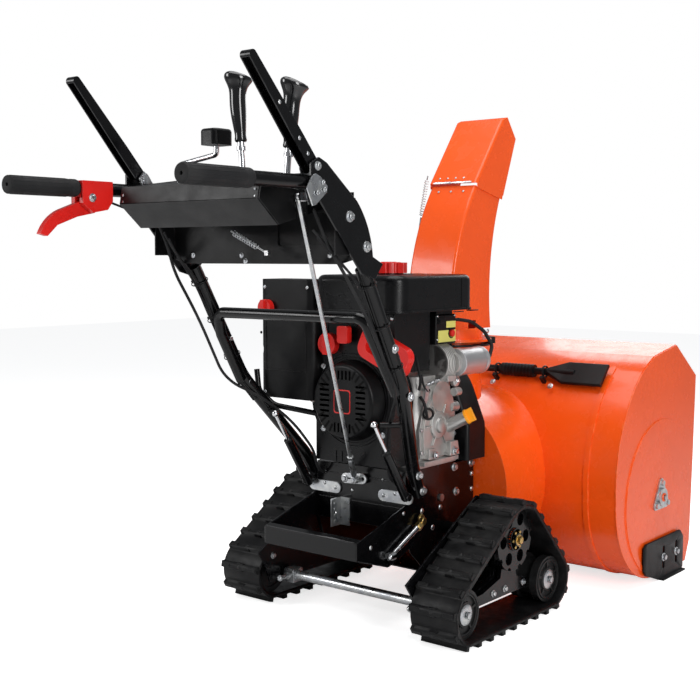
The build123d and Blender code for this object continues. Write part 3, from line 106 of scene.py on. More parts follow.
# ---- materials
def finish(name, colour, rough, metal=0.0, coat=0.0, specular=0.5, tint=0.12, tint_scale=7.0,
           second=None, rough_spread=0.1, rough_scale=30.0, grain=700.0, bump=0.12, stretch=None,
           edge_wear_and_highlight=None, dust=0.0):
    """A procedural surface: colour drift, patchy roughness, fine grain, edges lightened partly by wear and
    partly as a painted highlight, and light dust.
    """
    mat = bpy.data.materials.new(name)
    mat.use_nodes = True
    tree = mat.node_tree
    make, link = tree.nodes.new, tree.links.new
    shader = tree.nodes["Principled BSDF"]
    shader.inputs["Metallic"].default_value = metal
    shader.inputs["Coat Weight"].default_value = coat
    shader.inputs["Coat Roughness"].default_value = 0.06
    shader.inputs["Specular IOR Level"].default_value = specular
    where = make("ShaderNodeTexCoord")
    spot = where.outputs["Object"]

    def noise(scale, detail, source=spot):
        node = make("ShaderNodeTexNoise")
        node.inputs["Scale"].default_value = scale
        node.inputs["Detail"].default_value = detail
        link(source, node.inputs["Vector"])
        return node.outputs["Fac"]

    def spread(value, low, high, start=0.3, end=0.7):
        node = make("ShaderNodeMapRange")
        node.inputs["From Min"].default_value = start
        node.inputs["From Max"].default_value = end
        node.inputs["To Min"].default_value = low
        node.inputs["To Max"].default_value = high
        link(value, node.inputs["Value"])
        return node.outputs[0]

    def blend(factor, first, other):
        node = make("ShaderNodeMix")
        node.data_type = "RGBA"
        link(factor, node.inputs["Factor"])
        for socket, value in ((node.inputs[6], first), (node.inputs[7], other)):
            if isinstance(value, tuple):
                socket.default_value = (*value, 1)
            else:
                link(value, socket)
        return node.outputs[2]

    def times(first, second_value):
        node = make("ShaderNodeMath")
        node.operation = "MULTIPLY"
        link(first, node.inputs[0])
        if isinstance(second_value, float):
            node.inputs[1].default_value = second_value
        else:
            link(second_value, node.inputs[1])
        return node.outputs[0]

    dark = tuple(c * (1 - tint) for c in colour)
    light = second or tuple(min(1.0, c * (1 + tint)) for c in colour)
    shade = blend(spread(noise(tint_scale, 5), 0.0, 1.0), dark, light)
    # Edges get a lighter colour: partly worn paint, partly a painted highlight where edges catch the light.
    if edge_wear_and_highlight:
        soft = make("ShaderNodeBevel")
        soft.samples = 4
        soft.inputs["Radius"].default_value = 0.0022
        plain = make("ShaderNodeNewGeometry")
        facing = make("ShaderNodeVectorMath")
        facing.operation = "DOT_PRODUCT"
        link(soft.outputs[0], facing.inputs[0])
        link(plain.outputs["Normal"], facing.inputs[1])
        edge = spread(facing.outputs["Value"], 1.0, 0.0, 0.86, 0.985)
        wear_and_highlight_mask = times(edge, spread(noise(60.0, 4), 0.0, 0.75, 0.42, 0.62))
        shade = blend(wear_and_highlight_mask, shade, edge_wear_and_highlight)
    if dust:
        shade = blend(times(spread(noise(14.0, 6), 0.0, 1.0, 0.45, 0.8), dust), shade, (0.16, 0.155, 0.145))
    link(shade, shader.inputs["Base Color"])
    link(spread(noise(rough_scale, 6), rough - rough_spread, rough + rough_spread),
         shader.inputs["Roughness"])
    grain_at = spot
    if stretch:
        squeeze = make("ShaderNodeMapping")
        squeeze.inputs["Scale"].default_value = stretch
        link(spot, squeeze.inputs["Vector"])
        grain_at = squeeze.outputs[0]
    relief = make("ShaderNodeBump")
    relief.inputs["Strength"].default_value = bump
    relief.inputs["Distance"].default_value = 0.0006
    link(noise(grain, 3, grain_at), relief.inputs["Height"])
    link(relief.outputs[0], shader.inputs["Normal"])
    return mat


# Each edge colour below is lighter than its base: edge wear and a painted edge highlight.
ORANGE = finish("orange_paint", (0.92, 0.098, 0.007), 0.26, coat=0.2, specular=0.4, tint=0.05,
                rough_spread=0.05, grain=420.0, bump=0.05, edge_wear_and_highlight=(0.93, 0.30, 0.10))
BLACK = finish("black_paint", (0.002, 0.002, 0.0024), 0.22, coat=0.15, specular=0.26, tint=0.3,
               rough_spread=0.08, grain=520.0, bump=0.06, edge_wear_and_highlight=(0.05, 0.05, 0.055))
SATIN = finish("black_plastic", (0.003, 0.003, 0.0035), 0.36, specular=0.2, tint=0.2, rough_spread=0.07,
               grain=1500.0, bump=0.22, edge_wear_and_highlight=(0.03, 0.03, 0.032), dust=0.05)
COVER = finish("black_cover", (0.003, 0.003, 0.0035), 0.3, specular=0.26, tint=0.2, rough_spread=0.06,
               grain=1800.0, bump=0.14, edge_wear_and_highlight=(0.03, 0.03, 0.032))
GLOSSY = finish("gloss_black_grip", (0.004, 0.004, 0.0045), 0.14, coat=0.4, tint=0.2, rough_spread=0.04,
                grain=300.0, bump=0.03)
TREAD = finish("track_rubber", (0.004, 0.004, 0.0045), 0.45, specular=0.22, tint=0.25, rough_spread=0.12,
               rough_scale=45.0, grain=900.0, bump=0.4, edge_wear_and_highlight=(0.03, 0.03, 0.032), dust=0.12)
GRIP = finish("grip_rubber", (0.012, 0.012, 0.013), 0.66, specular=0.22, tint=0.2, rough_spread=0.1,
              grain=1600.0, bump=0.5, stretch=(1, 0.12, 1), dust=0.08)
WHEEL = finish("wheel_plastic", (0.008, 0.008, 0.0085), 0.45, specular=0.3, tint=0.25, rough_spread=0.08,
               grain=1100.0, bump=0.2, dust=0.1)
RED = finish("red_plastic", (0.70, 0.014, 0.010), 0.32, specular=0.45, tint=0.12, rough_spread=0.07,
             grain=1300.0, bump=0.1, edge_wear_and_highlight=(0.75, 0.10, 0.09))
AMBER = finish("yellow_plastic", (0.93, 0.36, 0.01), 0.36, tint=0.08, rough_spread=0.06,
               grain=1200.0, bump=0.1, edge_wear_and_highlight=(0.95, 0.55, 0.2))
CAST = finish("cast_alloy", (0.50, 0.49, 0.475), 0.44, metal=0.85, tint=0.22, tint_scale=16.0,
              rough_spread=0.14, grain=620.0, bump=0.5, edge_wear_and_highlight=(0.72, 0.71, 0.69))
ZINC = finish("zinc_plate", (0.56, 0.58, 0.62), 0.32, metal=1.0, tint=0.16, tint_scale=55.0,
              second=(0.70, 0.71, 0.70), rough_spread=0.12, rough_scale=70.0, grain=800.0, bump=0.12)
STEEL = finish("bare_steel", (0.46, 0.45, 0.44), 0.34, metal=1.0, tint=0.15, rough_spread=0.1,
               grain=260.0, bump=0.15, stretch=(8, 1, 1))
CHROME = finish("polished_rod", (0.78, 0.79, 0.81), 0.12, metal=1.0, tint=0.06, rough_spread=0.05,
                grain=500.0, bump=0.03)
MOTOR = finish("silver_motor", (0.55, 0.55, 0.56), 0.38, metal=0.8, tint=0.1, rough_spread=0.1,
               grain=1500.0, bump=0.2, edge_wear_and_highlight=(0.78, 0.78, 0.78))
BRASS = finish("brass", (0.60, 0.42, 0.16), 0.35, metal=1.0, tint=0.2, tint_scale=60.0,
               rough_spread=0.1, grain=700.0, bump=0.15)
# Flat rough black: dark seams, and painted shade where it fills holes, slots and hollows.
SEAM_AND_SHADE_BLACK = finish("dark_seams_and_painted_shade", (0.004, 0.004, 0.004), 0.8, specular=0.1, tint=0.3, grain=900.0, bump=0.1)
PALE = finish("plain_plate", (0.72, 0.66, 0.16), 0.5, tint=0.06, grain=900.0, bump=0.05)

NODE_FINISH = {node: mat for mat, nodes in (
    (ORANGE, "auger auger_housing chute chute_deflector housing_side_plates impeller "
             "impeller_drum"),
    (CAST, "auger_gearbox drive_disc engine_block"),
    (SATIN, "belt_cover carburettor_cover chute_ring cleaning_tool console recoil_cover "
            "skid_shoes starter_switch_box"),
    (BLACK, "chassis_frame gas_cylinders handle_plates handle_tubes lever_left lever_right "
            "muffler rear_tray scraper_bar track_axle track_frames"),
    (RED, "choke_knob fuel_cap ignition_knob recoil_grip red_trigger starter_button "
          "throttle_lever trigger_bracket"),
    (GRIP, "control_cables drive_belts handle_grips starter_lead"),
    (STEEL, "crankshaft friction_wheel hex_shaft impeller_shaft"),
    (COVER, "engine_shroud fuel_tank"),
    (WHEEL, "front_track_wheels rear_track_wheels"),
    (CHROME, "gas_rods speed_lever"),
    (GLOSSY, "joystick_left joystick_right"),
    (AMBER, "oil_cap"),
    (ZINC, "speed_arm speed_rod track_crossbar zinc_hardware"),
    (MOTOR, "starter_motor"),
    (TREAD, "track_belts"),
) for node in nodes.split()}
CRISP = set("skid_shoes control_cables starter_lead drive_belts track_belts auger handle_grips".split())


def soften(obj, width, sharp, harden):
    """Bevels, by width in metres, the edges that turn by more than sharp degrees."""
    soft = obj.modifiers.new("soft_edges", "BEVEL")
    soft.width = width
    soft.segments = 2
    soft.limit_method = "ANGLE"
    soft.angle_limit = radians(sharp)
    soft.harden_normals = harden


def dress_cad():
    """Gives every CAD node its finish and soft edges, without touching its vertices."""
    for name, obj in NODES.items():
        mesh = obj.data
        mesh.materials.clear()
        mesh.materials.append(NODE_FINISH[name])
        mesh.polygons.foreach_set("use_smooth", [True] * len(mesh.polygons))
        weld = obj.modifiers.new("weld", "WELD")
        weld.merge_threshold = 0.00001
        if name not in CRISP:
            soften(obj, 0.0007, 38, False)
        flat = obj.modifiers.new("even_normals", "WEIGHTED_NORMAL")
        flat.keep_sharp = False
        flat.weight = 60


def second_finish(node, mat, wanted):
    """Paints the faces of a CAD node whose centre passes the test with another finish."""
    mesh = NODES[node].data
    mesh.materials.append(mat)
    index = len(mesh.materials) - 1
    for face in mesh.polygons:
        if wanted(face.center / MM):
            face.material_index = index


# ---- mesh building
class Shape:
    """Collects solids in millimetres and turns them into one piece that rides on a body."""

    def __init__(self):
        self.bm = bmesh.new()

    def _frame(self, at, axis, spin=0.0):
        """A place whose z points along the axis, turned about it by spin."""
        axis = Vector(axis).normalized()
        turn = axis.to_track_quat("Z", "Y").to_matrix().to_4x4()
        return Matrix.Translation(Vector(at)) @ turn @ Matrix.Rotation(spin, 4, "Z")

    def lathe(self, at, axis, profile, sides=24, spin=0.0):
        """Turns (radius, height) points round an axis."""
        frame_at = self._frame(at, axis, spin)
        rings = []
        for radius, height in profile:
            if radius <= 0:
                rings.append([self.bm.verts.new(frame_at @ Vector((0, 0, height)))])
                continue
            rings.append([self.bm.verts.new(frame_at @ Vector((
                radius * cos(2 * pi * k / sides), radius * sin(2 * pi * k / sides), height)))
                for k in range(sides)])
        for low, high in zip(rings, rings[1:]):
            for k in range(sides):
                n = (k + 1) % sides
                corners = [low[k % len(low)], low[n % len(low)], high[n % len(high)], high[k % len(high)]]
                corners = list(dict.fromkeys(corners))
                if len(corners) > 2:
                    self.bm.faces.new(corners)
        return self

    def disc(self, at, axis, radius, height, edge=0.5, sides=24):
        """A flat disc with a chamfered rim."""
        return self.lathe(at, axis, [(0, 0), (radius, 0), (radius, height - edge),
                                     (radius - edge, height), (0, height)], sides)

    def bolt(self, at, axis, size=6.0, flange=True):
        """A flanged hex head with a chamfered top and a hollow."""
        if flange:
            self.lathe(at, axis, [(0, 0), (size * 1.45, 0), (size * 1.4, 0.9), (size * 1.05, 1.6), (0, 1.6)])
        top = size * 0.95
        self.lathe(at, axis, [(0, 1.2), (size, 1.2), (size, top - 0.6), (size * 0.86, top),
                              (size * 0.45, top), (size * 0.4, top - 0.5), (0, top - 0.5)], 6, 0.3)
        return self

    def dome(self, at, axis, radius, height, rings=5, sides=20):
        """A rounded head."""
        profile = [(radius * cos(pi / 2 * k / rings), height * sin(pi / 2 * k / rings))
                   for k in range(rings)] + [(0, height)]
        return self.lathe(at, axis, [(0, 0)] + profile, sides)

    def block(self, centre, size, turn=None, taper=1.0):
        """A box whose top is smaller by taper."""
        turn = turn or Matrix.Identity(4)
        corners = []
        for z in (-0.5, 0.5):
            shrink = taper if z > 0 else 1.0
            for x, y in ((-0.5, -0.5), (0.5, -0.5), (0.5, 0.5), (-0.5, 0.5)):
                local = Vector((x * size[0] * shrink, y * size[1] * shrink, z * size[2]))
                corners.append(self.bm.verts.new(Vector(centre) + turn.to_3x3() @ local))
        for face in ((3, 2, 1, 0), (4, 5, 6, 7), (0, 1, 5, 4), (1, 2, 6, 5), (2, 3, 7, 6), (3, 0, 4, 7)):
            self.bm.faces.new([corners[k] for k in face])
        return self

    def plate(self, outline, origin, across, up, depth):
        """A flat outline of (u, v) points, with u along across and v along up, given a depth."""
        origin, across, up = Vector(origin), Vector(across).normalized(), Vector(up).normalized()
        out = across.cross(up)
        low = [self.bm.verts.new(origin + across * u + up * v) for u, v in outline]
        high = [self.bm.verts.new(origin + across * u + up * v + out * depth) for u, v in outline]
        self.bm.faces.new(low[::-1])
        self.bm.faces.new(high)
        count = len(outline)
        for k in range(count):
            n = (k + 1) % count
            self.bm.faces.new([low[k], low[n], high[n], high[k]])
        return self

    def tube(self, points, radius, sides=10, smooth=6):
        """A round bar along a smooth line through the points."""
        points = [Vector(p) for p in points]
        line = []
        if smooth and len(points) > 2:
            ends = [points[0] * 2 - points[1]] + points + [points[-1] * 2 - points[-2]]
            for a, b, c, d in zip(ends, ends[1:], ends[2:], ends[3:]):
                for k in range(smooth):
                    t = k / smooth
                    line.append(0.5 * ((2 * b) + (c - a) * t + (2 * a - 5 * b + 4 * c - d) * t * t
                                       + (3 * b - a - 3 * c + d) * t ** 3))
            line.append(points[-1])
        else:
            line = points
        side = None
        rings = []
        for k, spot in enumerate(line):
            along = (line[min(k + 1, len(line) - 1)] - line[max(k - 1, 0)]).normalized()
            if side is None:
                side = along.orthogonal().normalized()
            side = (side - along * side.dot(along)).normalized()
            other = along.cross(side)
            rings.append([self.bm.verts.new(spot + radius * (side * cos(2 * pi * j / sides)
                                                            + other * sin(2 * pi * j / sides)))
                          for j in range(sides)])
        for low, high in zip(rings, rings[1:]):
            for j in range(sides):
                n = (j + 1) % sides
                self.bm.faces.new([low[j], low[n], high[n], high[j]])
        self.bm.faces.new(rings[0][::-1])
        self.bm.faces.new(rings[-1])
        return self

    def coil(self, start, end, radius, wire, turns):
        """A coil spring from one point to another."""
        start, end = Vector(start), Vector(end)
        along = (end - start).normalized()
        side = along.orthogonal().normalized()
        other = along.cross(side)
        steps = turns * 12
        points = [start + (end - start) * (k / steps)
                  + radius * (side * cos(2 * pi * k / 12) + other * sin(2 * pi * k / 12))
                  for k in range(steps + 1)]
        return self.tube(points, wire, 6, 0)

    def ring(self, at, axis, radius, wire, sides=24):
        """A closed hoop, such as a cable tie."""
        place = self._frame(at, axis)
        loops = []
        for k in range(sides):
            angle = 2 * pi * k / sides
            centre = Vector((radius * cos(angle), radius * sin(angle), 0))
            out = Vector((cos(angle), sin(angle), 0))
            loops.append([self.bm.verts.new(place @ (
                centre + wire * (out * cos(j * pi / 3) + Vector((0, 0, 1.6 * sin(j * pi / 3))))))
                for j in range(6)])
        for k in range(sides):
            low, high = loops[k], loops[(k + 1) % sides]
            for j in range(6):
                n = (j + 1) % 6
                self.bm.faces.new([low[j], high[j], high[n], low[n]])
        return self

    def done(self, name, mat, body, slot, edge=0.0, replaces=()):
        """Makes the piece, with edges softened by edge mm, and puts it on the body."""
        bmesh.ops.recalc_face_normals(self.bm, faces=self.bm.faces)
        for vert in self.bm.verts:
            vert.co *= MM
        mesh = bpy.data.meshes.new(name)
        self.bm.to_mesh(mesh)
        self.bm.free()
        mesh.polygons.foreach_set("use_smooth", [True] * len(mesh.polygons))
        mesh.set_sharp_from_angle(angle=radians(35))
        mesh.materials.append(mat)
        obj = bpy.data.objects.new(name, mesh)
        scene.collection.objects.link(obj)
        if edge:
            soften(obj, edge * MM, 40, True)
        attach(obj, body)
        if replaces:
            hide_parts(*replaces)
        return obj


SIDES, SIXTHS = (-1, 1), range(0, 360, 60)
X, Y, Z = Vector((1, 0, 0)), Vector((0, 1, 0)), Vector((0, 0, 1))

# Places on the CAD that the small pieces sit on, in millimetres.
GRIP_X, GRIP_END, GRIP_Z = 219, -785, 890  # middle of each grip's rear end
LEVERS = ((-1, "lever_left"), (1, "lever_right"))
LEVER_HINGE_Y, LEVER_HINGE_Z, LEVER_RISE = -492, 917, 48.2
STICK_Y, STICK_Z = -475, 850  # foot of both joysticks
HANDLE_PLATE_X = 236  # outer face of the handle's side plates
CONSOLE_REAR, DASH_REAR = -573, -389
CRANK_Z = 466
SHROUD_REAR, RECOIL_REAR, HEATER_REAR = -105, -140, -130
RECOIL_GRIP, RECOIL_SLOPE = Vector((100, -123, 572)), -24
TANK_SIDE, TANK_TOP, TANK_SEAM_Y = 148, 728, 80
FUEL_CAP = Vector((30, -20, 752.4))
ENGINE_SIDE = 115  # right face of the crankcase
COVER_Y, COVER_Z = 30, 410  # middle of the crankcase cover
STARTER_X, STARTER_Z = 137, 540
SWITCH_SIDE = 119  # right face of the starter switch box
CHASSIS_SIDE, CHASSIS_REAR = 119, -79
STRUT_X = 131
TRACK_X, TRACK_FACE = 258, 294  # middle and outer face of each track
WHEELS = (("front_wheels", 206), ("rear_wheels", -119))
WHEEL_Z, WHEEL_RADIUS = 68, 50
AXLE_Y, AXLE_Z, SPROCKET_RADIUS = 75, 180, 67
BELT_THICK, LUG_HEIGHT, LUGS = 9, 9, 25
CROSSBAR_Z = 62
HINGE_Y, HINGE_Z = 264.2, 935.6  # deflector hinge
PULL_X = -71  # deflector pull spring and cable
AUGER_Y, AUGER_Z = 585, 198
TOOL_Y, TOOL_Z = 439, 493
GAS_SPRING_FOOT, GAS_SPRING_HEAD = (-96, 276), (-201, 437)


def spoke(degrees):
    """A unit vector in the Y-Z plane."""
    return Vector((0, cos(radians(degrees)), sin(radians(degrees))))


def tipped(degrees):
    """A turn about X."""
    return Matrix.Rotation(radians(degrees), 4, "X")


def bolt_circle(shape, centre, out, radius, angles, size):
    """Hex heads on a circle in the Y-Z plane, facing out."""
    for angle in angles:
        shape.bolt(centre + spoke(angle) * radius, out, size, flange=False)


def along_tube(z):
    """The middle of the right handle tube at a height, on either side of its bend."""
    bend, foot, rise = Vector((212, -216, 512)), Vector((146, -92, 340)), Vector((5.5, -132, 233))
    if z < 490:
        return bend.lerp(foot, (bend.z - z) / (bend.z - foot.z))
    return bend + rise * ((z - bend.z) / rise.z)


# ---- grips, sticks and levers
def hand_grips():
    """Round rubber grips with lengthwise ribs and a hole in the end."""
    shape = Shape()
    for side in SIDES:
        shape.lathe((GRIP_X * side, GRIP_END, GRIP_Z), Y,
                    [(3.2, 6), (3.2, 0.4), (4.0, 0), (13.6, 0), (15.4, 0.7), (16.3, 2.4), (16.3, 126),
                     (15.9, 128), (15.9, 131), (16.3, 133), (16.3, 143), (15.4, 146), (12.8, 146)], 48)
        for k in range(16):
            out = Vector((cos(k * pi / 8), 0, sin(k * pi / 8)))
            spot = Vector((GRIP_X * side, GRIP_END + 6, GRIP_Z)) + out * 15.9
            shape.tube([spot, spot + Y * 118], 0.9, 6, 0)
        shape.lathe((GRIP_X * side, GRIP_END + 5.5, GRIP_Z), Y, [(0, 0), (3.3, 0), (3.3, 1), (0, 1)])
    shape.done("rubber_hand_grips", GRIP, "handle", "grip_rubber", replaces=("handle_grips",))


def joystick(name, x, lean, base, share):
    """A curved glossy grip on a bright rod, its nose turned forward.

    The grip starts base mm up the rod, and share scales its height.
    """
    up = Vector((sin(radians(lean)), 0, cos(radians(lean))))
    foot = Vector((x, STICK_Y, STICK_Z))
    nose = Vector((0.45, 0.89, 0))
    across = up.cross(nose).normalized()
    nose = across.cross(up)
    # height, half length, half width, forward shift
    sections = ((106, 9.0, 9.0, 0), (109, 11.2, 11.2, 0), (114, 11.4, 11.4, 0), (118, 9.8, 10.0, 0),
                (135, 11.6, 12.0, -0.6), (158, 14.2, 14.2, -1.4), (180, 15.2, 15.2, -1.8),
                (198, 14.6, 15.0, -1.4), (212, 16.2, 16.8, 0.2), (224, 21.6, 20.0, 1.2),
                (233, 26.0, 22.6, 1.8), (240, 26.4, 22.4, 1.8), (245, 22.6, 19.2, 1.4),
                (247.6, 13.5, 11.8, 1.0))
    grip = Shape()
    rings = []
    for height, long, wide, shift in sections:
        slant = 0.0 if height < 215 else (height - 215) / 30
        height = base + (height - 106) * share
        rings.append([grip.bm.verts.new(foot + up * (height - 5.8 * slant * (1 + cos(2 * pi * k / 20)))
                                        + nose * (shift + long * cos(2 * pi * k / 20))
                                        + across * (wide * sin(2 * pi * k / 20))) for k in range(20)])
    for low_ring, high_ring in zip(rings, rings[1:]):
        for k in range(20):
            n = (k + 1) % 20
            grip.bm.faces.new([low_ring[k], low_ring[n], high_ring[n], high_ring[k]])
    grip.bm.faces.new(rings[0][::-1])
    grip.bm.faces.new(rings[-1])
    made = grip.done(name + "_grip", GLOSSY, name, "black_cover", replaces=(name,))
    rounder = made.modifiers.new("rounder", "SUBSURF")
    rounder.levels = rounder.render_levels = 1
    rod = Shape()
    rod.lathe(foot, up, [(0, 0), (5.4, 0), (5.4, base - 14), (8.2, base - 14), (8.2, base - 7),
                         (6.4, base - 6), (6.4, base + 2), (0, base + 2)], 20)
    rod.lathe(foot + up * 40, up, [(5.4, 0), (8.0, 0), (8.0, 7), (5.4, 7)], 6)
    rod.dome(foot, up, 9, 8)
    rod.dome(foot, -up, 9, 8)
    rod.done(name + "_rod", CHROME, name, "chrome")


def lever_trim(side, body):
    """Rivets, hinge nut and fold lines of a drive lever."""
    rise = radians(LEVER_RISE)
    hinge = Vector((GRIP_X * side, LEVER_HINGE_Y, LEVER_HINGE_Z))
    out = Vector((0, -cos(rise), sin(rise)))
    top = Vector((0, sin(rise), cos(rise)))
    shape = Shape()
    for reach in (26, 58, 130):
        shape.dome(hinge + out * reach + X * (11 * side), X * side, 3.4, 1.3)
    shape.done(body + "_rivets", ZINC, body, "zinc")
    if side > 0:
        plate = Shape()
        plate.plate([(-523, 879), (-508, 901), (-500, 904), (-488, 899), (-470, 884), (-472, 874),
                     (-500, 852), (-508, 850)], (HANDLE_PLATE_X + 0.9, 0, 0), Y, Z, 2.4)
        for y, z in ((-484, 890), (-480, 878), (-498, 872)):
            plate.bolt((HANDLE_PLATE_X + 3.2, y, z), X, 4.2, flange=False)
        plate.done("lever_pull_plate", ZINC, "handle", "zinc", edge=0.5)
    pin = Shape().bolt(hinge + X * (17.2 * side), X * side, 5.4)
    pin.done(body + "_hinge_nut", ZINC, "handle", "zinc")
    folds = Shape()
    for reach, lift in ((196, 9.4), (44, 12.2)):
        spot = hinge + out * reach + top * lift
        folds.tube([spot - X * 8, spot + X * 8], 0.8, 6, 0)
    folds.done(body + "_fold_lines", BLACK, body, "black_paint")


def trigger_trim():
    """Bolts, finger ribs and cable of the red trigger."""
    shape = Shape()
    shape.bolt((-202, -614, 873), X, 5.6)
    shape.bolt((-236, -614, 873), -X, 4.6, flange=False)
    shape.done("trigger_bracket_bolt", ZINC, "handle", "zinc")
    ribs = Shape()
    start, end = Vector((-219, -650, 838)), Vector((-219, -708, 812))
    for k in range(7):
        spot = start.lerp(end, k / 6) + Vector((0, 1.4, 2.2))
        ribs.tube([spot - X * 4.6, spot + X * 4.6], 0.9, 6, 0)
    ribs.done("trigger_ribs", RED, "trigger", "red_plastic")
    lead = Shape()
    lead.tube([(-216, -566, 868), (-212, -548, 862), (-203, -520, 852), (-196, -500, 846), (-190, -480, 852)],
              2.2, 8)
    lead.done("trigger_cable", GRIP, "handle", "grip_rubber")


# ---- console and handle frame
def console_trim():
    """Bolts, seams and springs of the console."""
    shape = Shape()
    for side in SIDES:
        for high in (866, 878):
            shape.dome((167 * side, CONSOLE_REAR + 0.8, high), -Y, 2.2, 1.1)
        for y, z in ((-406, 835), (-358, 783)):
            shape.bolt((HANDLE_PLATE_X * side, y, z), X * side, 7.0)
            shape.bolt((-228 if side < 0 else 231, y, z), -X * side, 4.4, flange=False)
        for z in (595, 500):
            spot = along_tube(z)
            shape.bolt((side * (spot.x + 13.4), spot.y, spot.z), X * side, 6.2)
            shape.bolt((side * (spot.x - 13.4), spot.y, spot.z), -X * side, 5.0, flange=False)
    for x, z in ((-176, 768), (-43, 768), (-33, 757), (176, 768)):
        shape.dome((x, DASH_REAR, z), -Y, 5.5, 3.2)
    shape.done("console_bolts", ZINC, "handle", "zinc")
    works = Shape()
    works.coil((-17, -436, 809), (38, -432, 783), 4.6, 1.0, 10)
    works.tube([(-24, -436, 813), (60, -431, 773)], 1.7, 8, 0)
    works.block((62, -430, 772), (9, 7, 9))
    works.done("console_springs", ZINC, "handle", "zinc", edge=0.4)
    seam = Shape()
    seam.block((0, CONSOLE_REAR - 0.2, 862.5), (346, 0.8, 1.2))
    for side in SIDES:
        seam.block((162 * side, -496, 903.4), (1.2, 140, 0.6), tipped(7.8))
    seam.done("console_seams", SEAM_AND_SHADE_BLACK, "handle", "black_plastic")


def loose_cables():
    """The thin cables and their ties that run down each handle tube."""
    cable, ties = Shape(), Shape()
    for side in SIDES:
        for gap, lean, start_y, start_z in ((15.8, 0.55, -440, 800), (19.2, 0.2, -452, 812)):
            behind = Vector((-lean, -0.87, -0.49)).normalized() * gap
            path = [Vector((side * 190, start_y, start_z)), Vector((side * 200, start_y + 34, start_z - 34))]
            for z in (720, 655, 590, 525, 470):
                spot = along_tube(z) + behind
                path.append(Vector((side * spot.x, spot.y, spot.z)))
            cable.tube(path, 2.3, 8)
        for z in (716, 640, 560):
            spot = along_tube(z) + Vector((-0.5, -2.2, -1.2))
            ties.ring((side * spot.x, spot.y, spot.z), (0.02 * side, -0.49, 0.87), 17.6, 0.9, 28)
            ties.block((side * (spot.x + 17), spot.y - 4, spot.z), (3.4, 5, 4))
    cable.done("handle_cables", GRIP, "handle", "grip_rubber")
    ties.done("cable_ties", SATIN, "handle", "black_plastic")


# ---- engine
def engine_cover_trim():
    """The rear of the blower shroud and the heater box."""
    ridges = Shape()
    ridges.ring((0, SHROUD_REAR - 0.4, CRANK_Z), Y, 97, 1.5, 48)
    ridges.ring((0, SHROUD_REAR - 1, CRANK_Z), Y, 90.5, 1.0, 48)
    ridges.block((32, SHROUD_REAR - 1.2, 646), (150, 1.6, 2.2))
    ridges.block((-66, SHROUD_REAR - 1, 590), (2, 1.4, 70))
    for x in (-46, -30, -14):
        ridges.block((x, SHROUD_REAR - 1, 344), (5, 1.4, 22))
    ridges.done("shroud_ridges", COVER, "chassis", "black_cover")
    # A dark disc in the shroud's opening, a dark hole and dark slots: painted shade for the dark inside them.
    dark = Shape()
    dark.disc((0, SHROUD_REAR - 7, CRANK_Z), Y, 77, 1.2, 0.4, 40)
    dark.disc((-236, HEATER_REAR - 1.4, 600), Y, 3.2, 1.2)
    dark.block((68, SHROUD_REAR - 0.6, 632), (22, 1.2, 6))
    for corner in (45, 135, 225, 315):
        for step in (-17, -6, 6, 17):
            angle = radians(corner + step)
            dark.block((64 * cos(angle), RECOIL_REAR - 0.3, CRANK_Z + 64 * sin(angle)), (18, 0.7, 4.2),
                       Matrix.Rotation(-angle, 4, "Y"))
    dark.done("shroud_painted_shade", SEAM_AND_SHADE_BLACK, "chassis", "black_plastic")
    corner = 6
    for half, mat, name, lift in ((25, RED, "badge_rim", 0.8), (22.6, SATIN, "badge_blank", 1.4)):
        outline = []
        for quarter in range(4):
            for step in range(5):
                angle = quarter * pi / 2 + step * pi / 8
                middle = quarter * pi / 2 + pi / 4
                reach = (half - corner) * 1.414
                outline.append((reach * cos(middle) * 0.84 + corner * cos(angle),
                                reach * sin(middle) + corner * sin(angle)))
        piece = Shape().plate(outline, (0, RECOIL_REAR + 0.4, CRANK_Z), X, Z, lift)
        piece.done(name, mat, "chassis", "red_plastic" if mat is RED else "black_plastic", edge=0.2)
    slats = Shape()
    for k in range(9):
        slats.block((-58 + k * 5.0, SHROUD_REAR - 0.5, 568 - abs(k - 4) * 2), (1.6, 1.0, 5))
    slats.done("choke_scale_ticks", SATIN, "chassis", "black_plastic")
    screws = Shape()
    for angle in (40, 140, 220, 320):
        screws.bolt((104 * cos(radians(angle)), SHROUD_REAR, CRANK_Z + 104 * sin(radians(angle))), -Y, 4.4)
    for x, z in ((102, 640), (-74, 640), (100, 540)):
        screws.dome((x, SHROUD_REAR, z), -Y, 4.2, 2.4)
    for x, z in ((-226, 470), (-226, 700), (-104, 700)):
        screws.dome((x, HEATER_REAR, z), -Y, 4.0, 2.2)
    screws.done("shroud_screws", ZINC, "chassis", "zinc")
    ledges = Shape()
    for z in (640, 520):
        ledges.block((-165, HEATER_REAR - 0.6, z), (120, 1.6, 2.4))
    for x in (-222, -108):
        ledges.block((x, HEATER_REAR - 0.6, 580), (2.4, 1.6, 118))
    ledges.done("heater_box_ledges", SATIN, "chassis", "black_plastic", edge=0.5)
    Shape().disc((-58, -128.2, 582), -Y, 6.5, 1.2).done("choke_hub", RED, "choke_knob", "red_plastic")


def recoil_trim():
    """Ribs over a dark back in the right half of the recoil grip's window; the dark back is painted shade for
    the hollow behind the ribs.
    """
    slope = radians(RECOIL_SLOPE)
    along = Vector((cos(slope), 0, sin(slope)))
    up = Vector((-along.z, 0, along.x))
    turn = Matrix((along, Y, up)).transposed().to_4x4()
    shape = Shape()
    for k in range(5):
        shape.block(RECOIL_GRIP + along * (13 + 7.4 * k) - Y * 8.6, (2.6, 2.6, 32.4), turn)
    shape.block(RECOIL_GRIP + along * 5 - Y * 7, (3.4, 5, 32.4), turn)
    shape.done("recoil_grip_ribs", RED, "recoil_grip", "red_plastic", edge=0.5)
    # Dark back: painted shade in the hollow behind the ribs.
    back = Shape().block(RECOIL_GRIP + along * 25 - Y * 3, (41.5, 1, 31.6), turn)
    back.done("recoil_window_painted_shade", SEAM_AND_SHADE_BLACK, "recoil_grip", "black_plastic")


